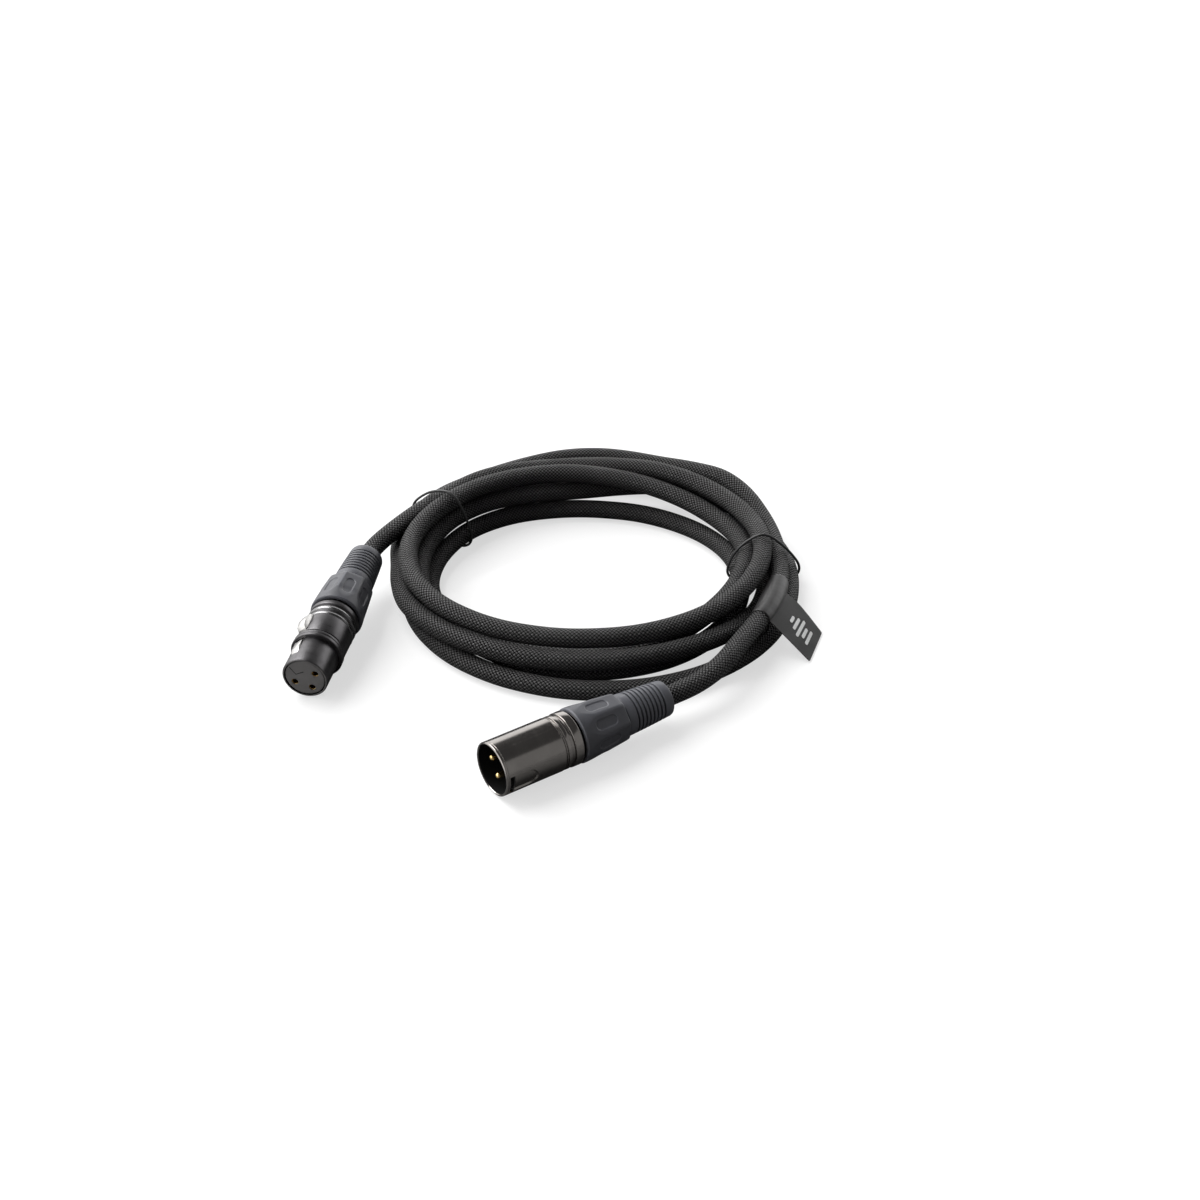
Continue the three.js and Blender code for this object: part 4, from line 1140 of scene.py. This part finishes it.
# ------------------------------------------------------------------ female connector
# t, radius, fillet, in the same order as the male one
FEMALE_PROFILE = [
    (0, NOSE_BORE + 0.08, 0.08), (0, NOSE_R - 0.3, 0.12), (0.35, NOSE_R, 0.25),
    (12.9, NOSE_R, 0.1), (13.05, NOSE_R - 0.3, 0.06), (13.45, NOSE_R - 0.3, 0.06),
    (13.5, BODY_R + 0.25, 0.12), (13.75, BODY_R + 0.43, 0.15), (14.45, BODY_R + 0.43, 0.1),
    (14.6, BODY_R + 0.18, 0.08), (15.2, BODY_R + 0.18, 0.08), (15.35, BODY_R + 0.38, 0.1),
    (16.2, BODY_R + 0.36, 0.3), (16.6, BODY_R - 0.05, 0.1), (16.75, BODY_R - 0.4, 0.08),
    (17.1, BODY_R - 0.4, 0.08), (17.25, BODY_R, 0.2), (26.6, BODY_R, 0.15),
    (26.75, BODY_R - 0.3, 0.08), (26.95, BODY_R - 0.3, 0.08), (27.1, BODY_R - 0.05, 0.3),
    (27.7, BODY_R + 0.12, 0.5), (28.35, BODY_R - 0.05, 0.3), (28.55, BODY_R - 0.75, 0.08),
    (29.9, BODY_R - 0.75, 0.08), (30.15, BODY_R - 0.05, 0.3), (30.95, BODY_R + 0.14, 0.6),
    (31.75, BODY_R - 0.05, 0.3), (31.95, BODY_R - 0.75, 0.08), (32.9, BODY_R - 0.75, 0.08),
    (33.1, BODY_R + 0.02, 0.15), (34.9, BODY_R + 0.1, 0.3), (35.1, BODY_R - 0.8, 0.2),
    (36.3, BODY_R - 0.8, 0.1), (36.3, SPIGOT_R, 0.1), (44, SPIGOT_R, 0.2),
    (44, NOSE_BORE - 0.35, 0.1), (31, NOSE_BORE - 0.35, 0.1), (31, NOSE_BORE, 0.1),
]


def female_shell():
    slot_w = 4.6
    ob = ring_body("female_shell_nose", FEMALE, fillet(FEMALE_PROFILE), 256, MATS["nose"])
    # slots for the latch, running under the band between nose and body
    cut(ob, [cutter_box(FEMALE, 4.9, 13.1, 5, 12, slot_w, FEMALE_KEY, bevel=0.3),
             cutter_box(FEMALE, 12.5, 17.4, 5, 8.8, slot_w, FEMALE_KEY),
             cutter_box(FEMALE, 17.0, 26.75, 5, 12, slot_w, FEMALE_KEY, bevel=0.4)])
    paint(ob, FEMALE, MATS["nose"], [
        (lambda t, r, front: t < 0.3 and front > 0.9, MATS["insert_female"]),
        # painted shade on the bore
        (lambda t, r, front: r < NOSE_BORE + 0.1 and t < 30, MATS["bore"]),
        # painted highlight: lighter metal on the two rear rings
        (lambda t, r, front: 27.0 < t < 28.6 or 30.0 < t < 32.0, MATS["ring"])])
    shade(ob, 38)
    assign(ob, "female_plug", "female_shell")


def female_sockets():
    """Gold tubes, each with a separate lip in its hole's mouth."""
    tube = [(1.6, 1.2), (1.6, 1.72), (30.2, 1.72), (32.6, 1.6), (32.6, 1.05), (30, 1.05),
            (30, 0.01), (15, 0.01), (14.6, 1.2)]
    lip = fillet([(0.55, 1.15, 0.03), (0.55, 1.32, 0.02), (1.5, 1.32, 0.02), (1.5, 1.07, 0.03)],
                 steps=2)
    for i, angle in enumerate(CONTACTS, 1):
        name = f"female_socket_{i}"
        centre = (FEMALE_CONTACTS + angle, CONTACT_CIRCLE)
        ob = ring_body(name + "_gold", FEMALE, tube, 32, MATS["gold"], centre=centre)
        shade(ob, 40)
        assign(ob, "female_plug", name)
        ob = ring_body(name + "_lip", FEMALE, lip, 32, MATS["gold"], centre=centre)
        assign(ob, "female_plug")


def key_mark():
    """Bent engraved line on the insert's face, drawn as a thin near-black inlay: painted shade in
    place of the groove.
    """
    line = np.array([(-5.5, 4.2), (-3.3, 1.2), (-0.25, 2.7)])   # right, up
    width, front, depth = 0.40, 0.235, 0.2
    count = len(line)
    runs = unit_rows(np.diff(line, axis=0))
    left, right = [], []
    for i, point in enumerate(line):
        along = unit(sum(runs[max(0, i - 1):i + 1]))
        across = np.array([-along[1], along[0]]) * width / 2
        left.append(point + across)
        right.append(point - across)
    points = [FEMALE.face_point(t, *p) for t in (front, front + depth) for p in left + right]
    faces = []
    back = 2 * count
    for i in range(count - 1):
        a, b, c, d = i, i + 1, count + i + 1, count + i
        faces += [(a, b, c, d), (a + back, d + back, c + back, b + back),
                  (a, a + back, b + back, b), (d, c, c + back, d + back)]
    faces += [(0, count, count + back, back),
              (count - 1, back + count - 1, 2 * back - 1, back - 1)]
    ob = new_mesh("female_key_mark", points, faces, smooth=False, mat=MATS["engrave"])
    fix_normals(ob)
    assign(ob, "female_plug")


def latch_lever():
    """Side outline (t, distance from the axis, fillet), given a thickness."""
    half = 1.95
    profile = fillet([
        (5.6, 7.1, .1), (26.5, 7.1, .1), (26.5, 8.1, .2), (26.3, 9.6, .3), (25.6, 10.8, .5),
        (22.0, 11.5, 1.2), (19.0, 11.0, .6), (18.0, 9.8, .5), (17.6, 8.25, .2), (12.6, 8.25, .2),
        (12.2, 8.85, .2), (8.2, 8.85, .4), (6.6, 8.2, .5), (5.6, 8.0, .3)])
    points = [FEMALE.at(FEMALE_KEY, t, side, r) for side in (-half, half) for t, r in profile]
    n = len(profile)
    faces = [tuple(range(n)), tuple(reversed(range(n, 2 * n)))]
    faces += [(i, n + i, n + (i + 1) % n, (i + 1) % n) for i in range(n)]
    ob = new_mesh("latch_lever_steel", points, faces, smooth=False, mat=MATS["steel"])
    ob.data.uv_layers.new(name="UVMap")
    fix_normals(ob)
    mod = ob.modifiers.new("bevel", "BEVEL")
    mod.width = 0.16 * MM
    mod.segments = 2
    mod.limit_method = "ANGLE"
    mod.angle_limit = math.radians(40)
    apply_mods(ob)
    shade(ob, 40)
    assign(ob, "latch", "latch_lever")


def latch_spring():
    """Three turns of wire, standing out from the axis under the lever."""
    turns, per_turn = 3, 40
    middle_t, coil_r, wire_r = 22, 1.2, 0.17
    foot, height = 5.5, 1.3
    steps = turns * per_turn
    points = []
    for i in range(steps + 1):
        a = 2 * math.pi * i / per_turn
        points.append(FEMALE.at(FEMALE_KEY, middle_t + coil_r * math.cos(a),
                                coil_r * math.sin(a), foot + height * i / steps))
    ob = swept("latch_spring_coil", np.array(points), wire_r, 10, MATS["steel"])
    assign(ob, "female_plug", "latch_spring")


female_shell()
insert("female", FEMALE, FEMALE_CONTACTS, 0.25, 29.6, NOSE_BORE - 0.24,
       [(-1, 3, 1.35), (1.5, 31, 2.0)], channel=(4.3, 31, 5.2, 10, 4.8))
female_sockets()
key_mark()
latch_lever()
latch_spring()


# ------------------------------------------------------------------ CAD pieces kept as they are
def dress(node, mat):
    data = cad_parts[node].data
    if data.uv_layers.get("UVMap") is None:
        data.uv_layers.new(name="UVMap")
    data.materials.clear()
    data.materials.append(mat)


for prefix in ("male", "female"):
    for part, key in (("chuck", "chuck"), ("wire_1", "red"), ("wire_2", "white"),
                      ("drain_wire", "copper")):
        dress(f"{prefix}_{part}", MATS[key])

# ------------------------------------------------------------------ stage
HEADING = math.radians(-34.85)      # camera's, about z


def from_view(right, away):
    """Directions as the camera sees them, to x and y."""
    c, s = math.cos(HEADING), math.sin(HEADING)
    return np.array([right * c - away * s, right * s + away * c])


def floor():
    """White paper; what it gives back to the object is held down."""
    bounce, paper_grey, glow = 0.16, 0.42, 0.62
    half, height = 6.0, -0.0001     # m
    net = Surface("floor_paper")
    coords = net.coords()
    seen = net.camera_ray()
    paper = net.mix(net.remap(net.noise(coords, scale=900.0, detail=2.0), 0.3, 0.7),
                    grey(paper_grey), grey(paper_grey + 0.01))
    fibre = net.noise(coords, scale=2500.0, detail=2.0)
    mat = net.finish({
        "Base Color": net.mix(seen, grey(bounce), paper),
        "Roughness": 0.08,
        "Specular IOR Level": 0.3,
        "Normal": net.bump(fibre, strength=0.05, distance=0.00002),
        # seen by the camera, the sheet also glows, so contact shadows stay pale
        "Emission Color": (1, 1, 1, 1),
        "Emission Strength": net.calc("MULTIPLY", seen, glow)})
    me = bpy.data.meshes.new("floor")
    me.from_pydata([(x * half, y * half, height) for x, y in ((-1, -1), (1, -1), (1, 1), (-1, 1))],
                   [], [(0, 1, 2, 3)])
    ob = bpy.data.objects.new("floor", me)
    bpy.context.scene.collection.objects.link(ob)
    me.materials.append(mat)


def studio():
    """Pale sweep behind and to the left, a dimmer wall on the right, dark overhead."""
    pale, dim, dark = 1.9, 0.36, 0.09       # brightness of each
    world = bpy.data.worlds.new("studio")
    scene.world = world
    world.use_nodes = True
    background = world.node_tree.nodes["Background"]
    net = Graph(world.node_tree)
    calc = net.calc

    def fade(value, dark_at, lit_at):
        return net.remap(value, dark_at, lit_at, curve="SMOOTHSTEP")

    generated = net.add("ShaderNodeTexCoord").outputs["Generated"]
    # x to the camera's right, y away from it
    x, y, z = net.separate(net.mapping(generated, "Rotation", (0, 0, -HEADING)))
    back = calc("MULTIPLY", fade(y, 0.25, 0.55), fade(z, 0.60, 0.44))
    left = calc("MULTIPLY", fade(x, -0.30, -0.60), fade(z, 0.80, 0.66))
    right = calc("MULTIPLY", calc("MULTIPLY", fade(x, 0.35, 0.6), fade(y, 0.20, 0.0)),
                 fade(z, 0.74, 0.66))
    lit = calc("ADD", calc("MULTIPLY", calc("MAXIMUM", back, left), pale),
               calc("MULTIPLY", right, dim))
    even_extra = 0.0        # light added in every direction
    total = calc("ADD", calc("MAXIMUM", lit, dark), even_extra)
    # the camera itself sees plain white
    mix = net.add("ShaderNodeMix", data_type="FLOAT")
    for i, value in ((0, net.camera_ray()), (2, total), (3, 1.0)):
        net.feed(mix.inputs[i], value)
    net.feed(background.inputs[1], mix.outputs[0])
    background.inputs[0].default_value = (1, 1, 1, 1)


def key_light():
    """Soft sun from the left, behind and above."""
    light = bpy.data.lights.new("key_soft", "SUN")
    light.energy = 3.1
    light.angle = math.radians(45)
    ob = bpy.data.objects.new("key_soft", light)
    scene.collection.objects.link(ob)
    x, y = from_view(right=-0.55, away=0.38)
    ob.rotation_euler = Vector((-x, -y, -0.80)).to_track_quat("-Z", "Y").to_euler()


def camera():
    height, tilt = 408.5, 33        # mm, degrees below level
    data = bpy.data.cameras.new("camera")
    data.sensor_width = 36.0
    data.lens = 57.0
    data.clip_start = 0.01
    ob = bpy.data.objects.new("camera", data)
    scene.collection.objects.link(ob)
    x, y = from_view(right=3.0, away=-639.0)
    ob.location = ((x + SHIFT[0]) * MM, (y + SHIFT[1]) * MM, height * MM)
    ob.rotation_euler = (math.radians(90 - tilt), 0, HEADING)
    scene.camera = ob


floor()
scene = bpy.context.scene
scene.view_settings.view_transform = "Standard"
scene.view_settings.look = "None"
studio()
key_light()
camera()
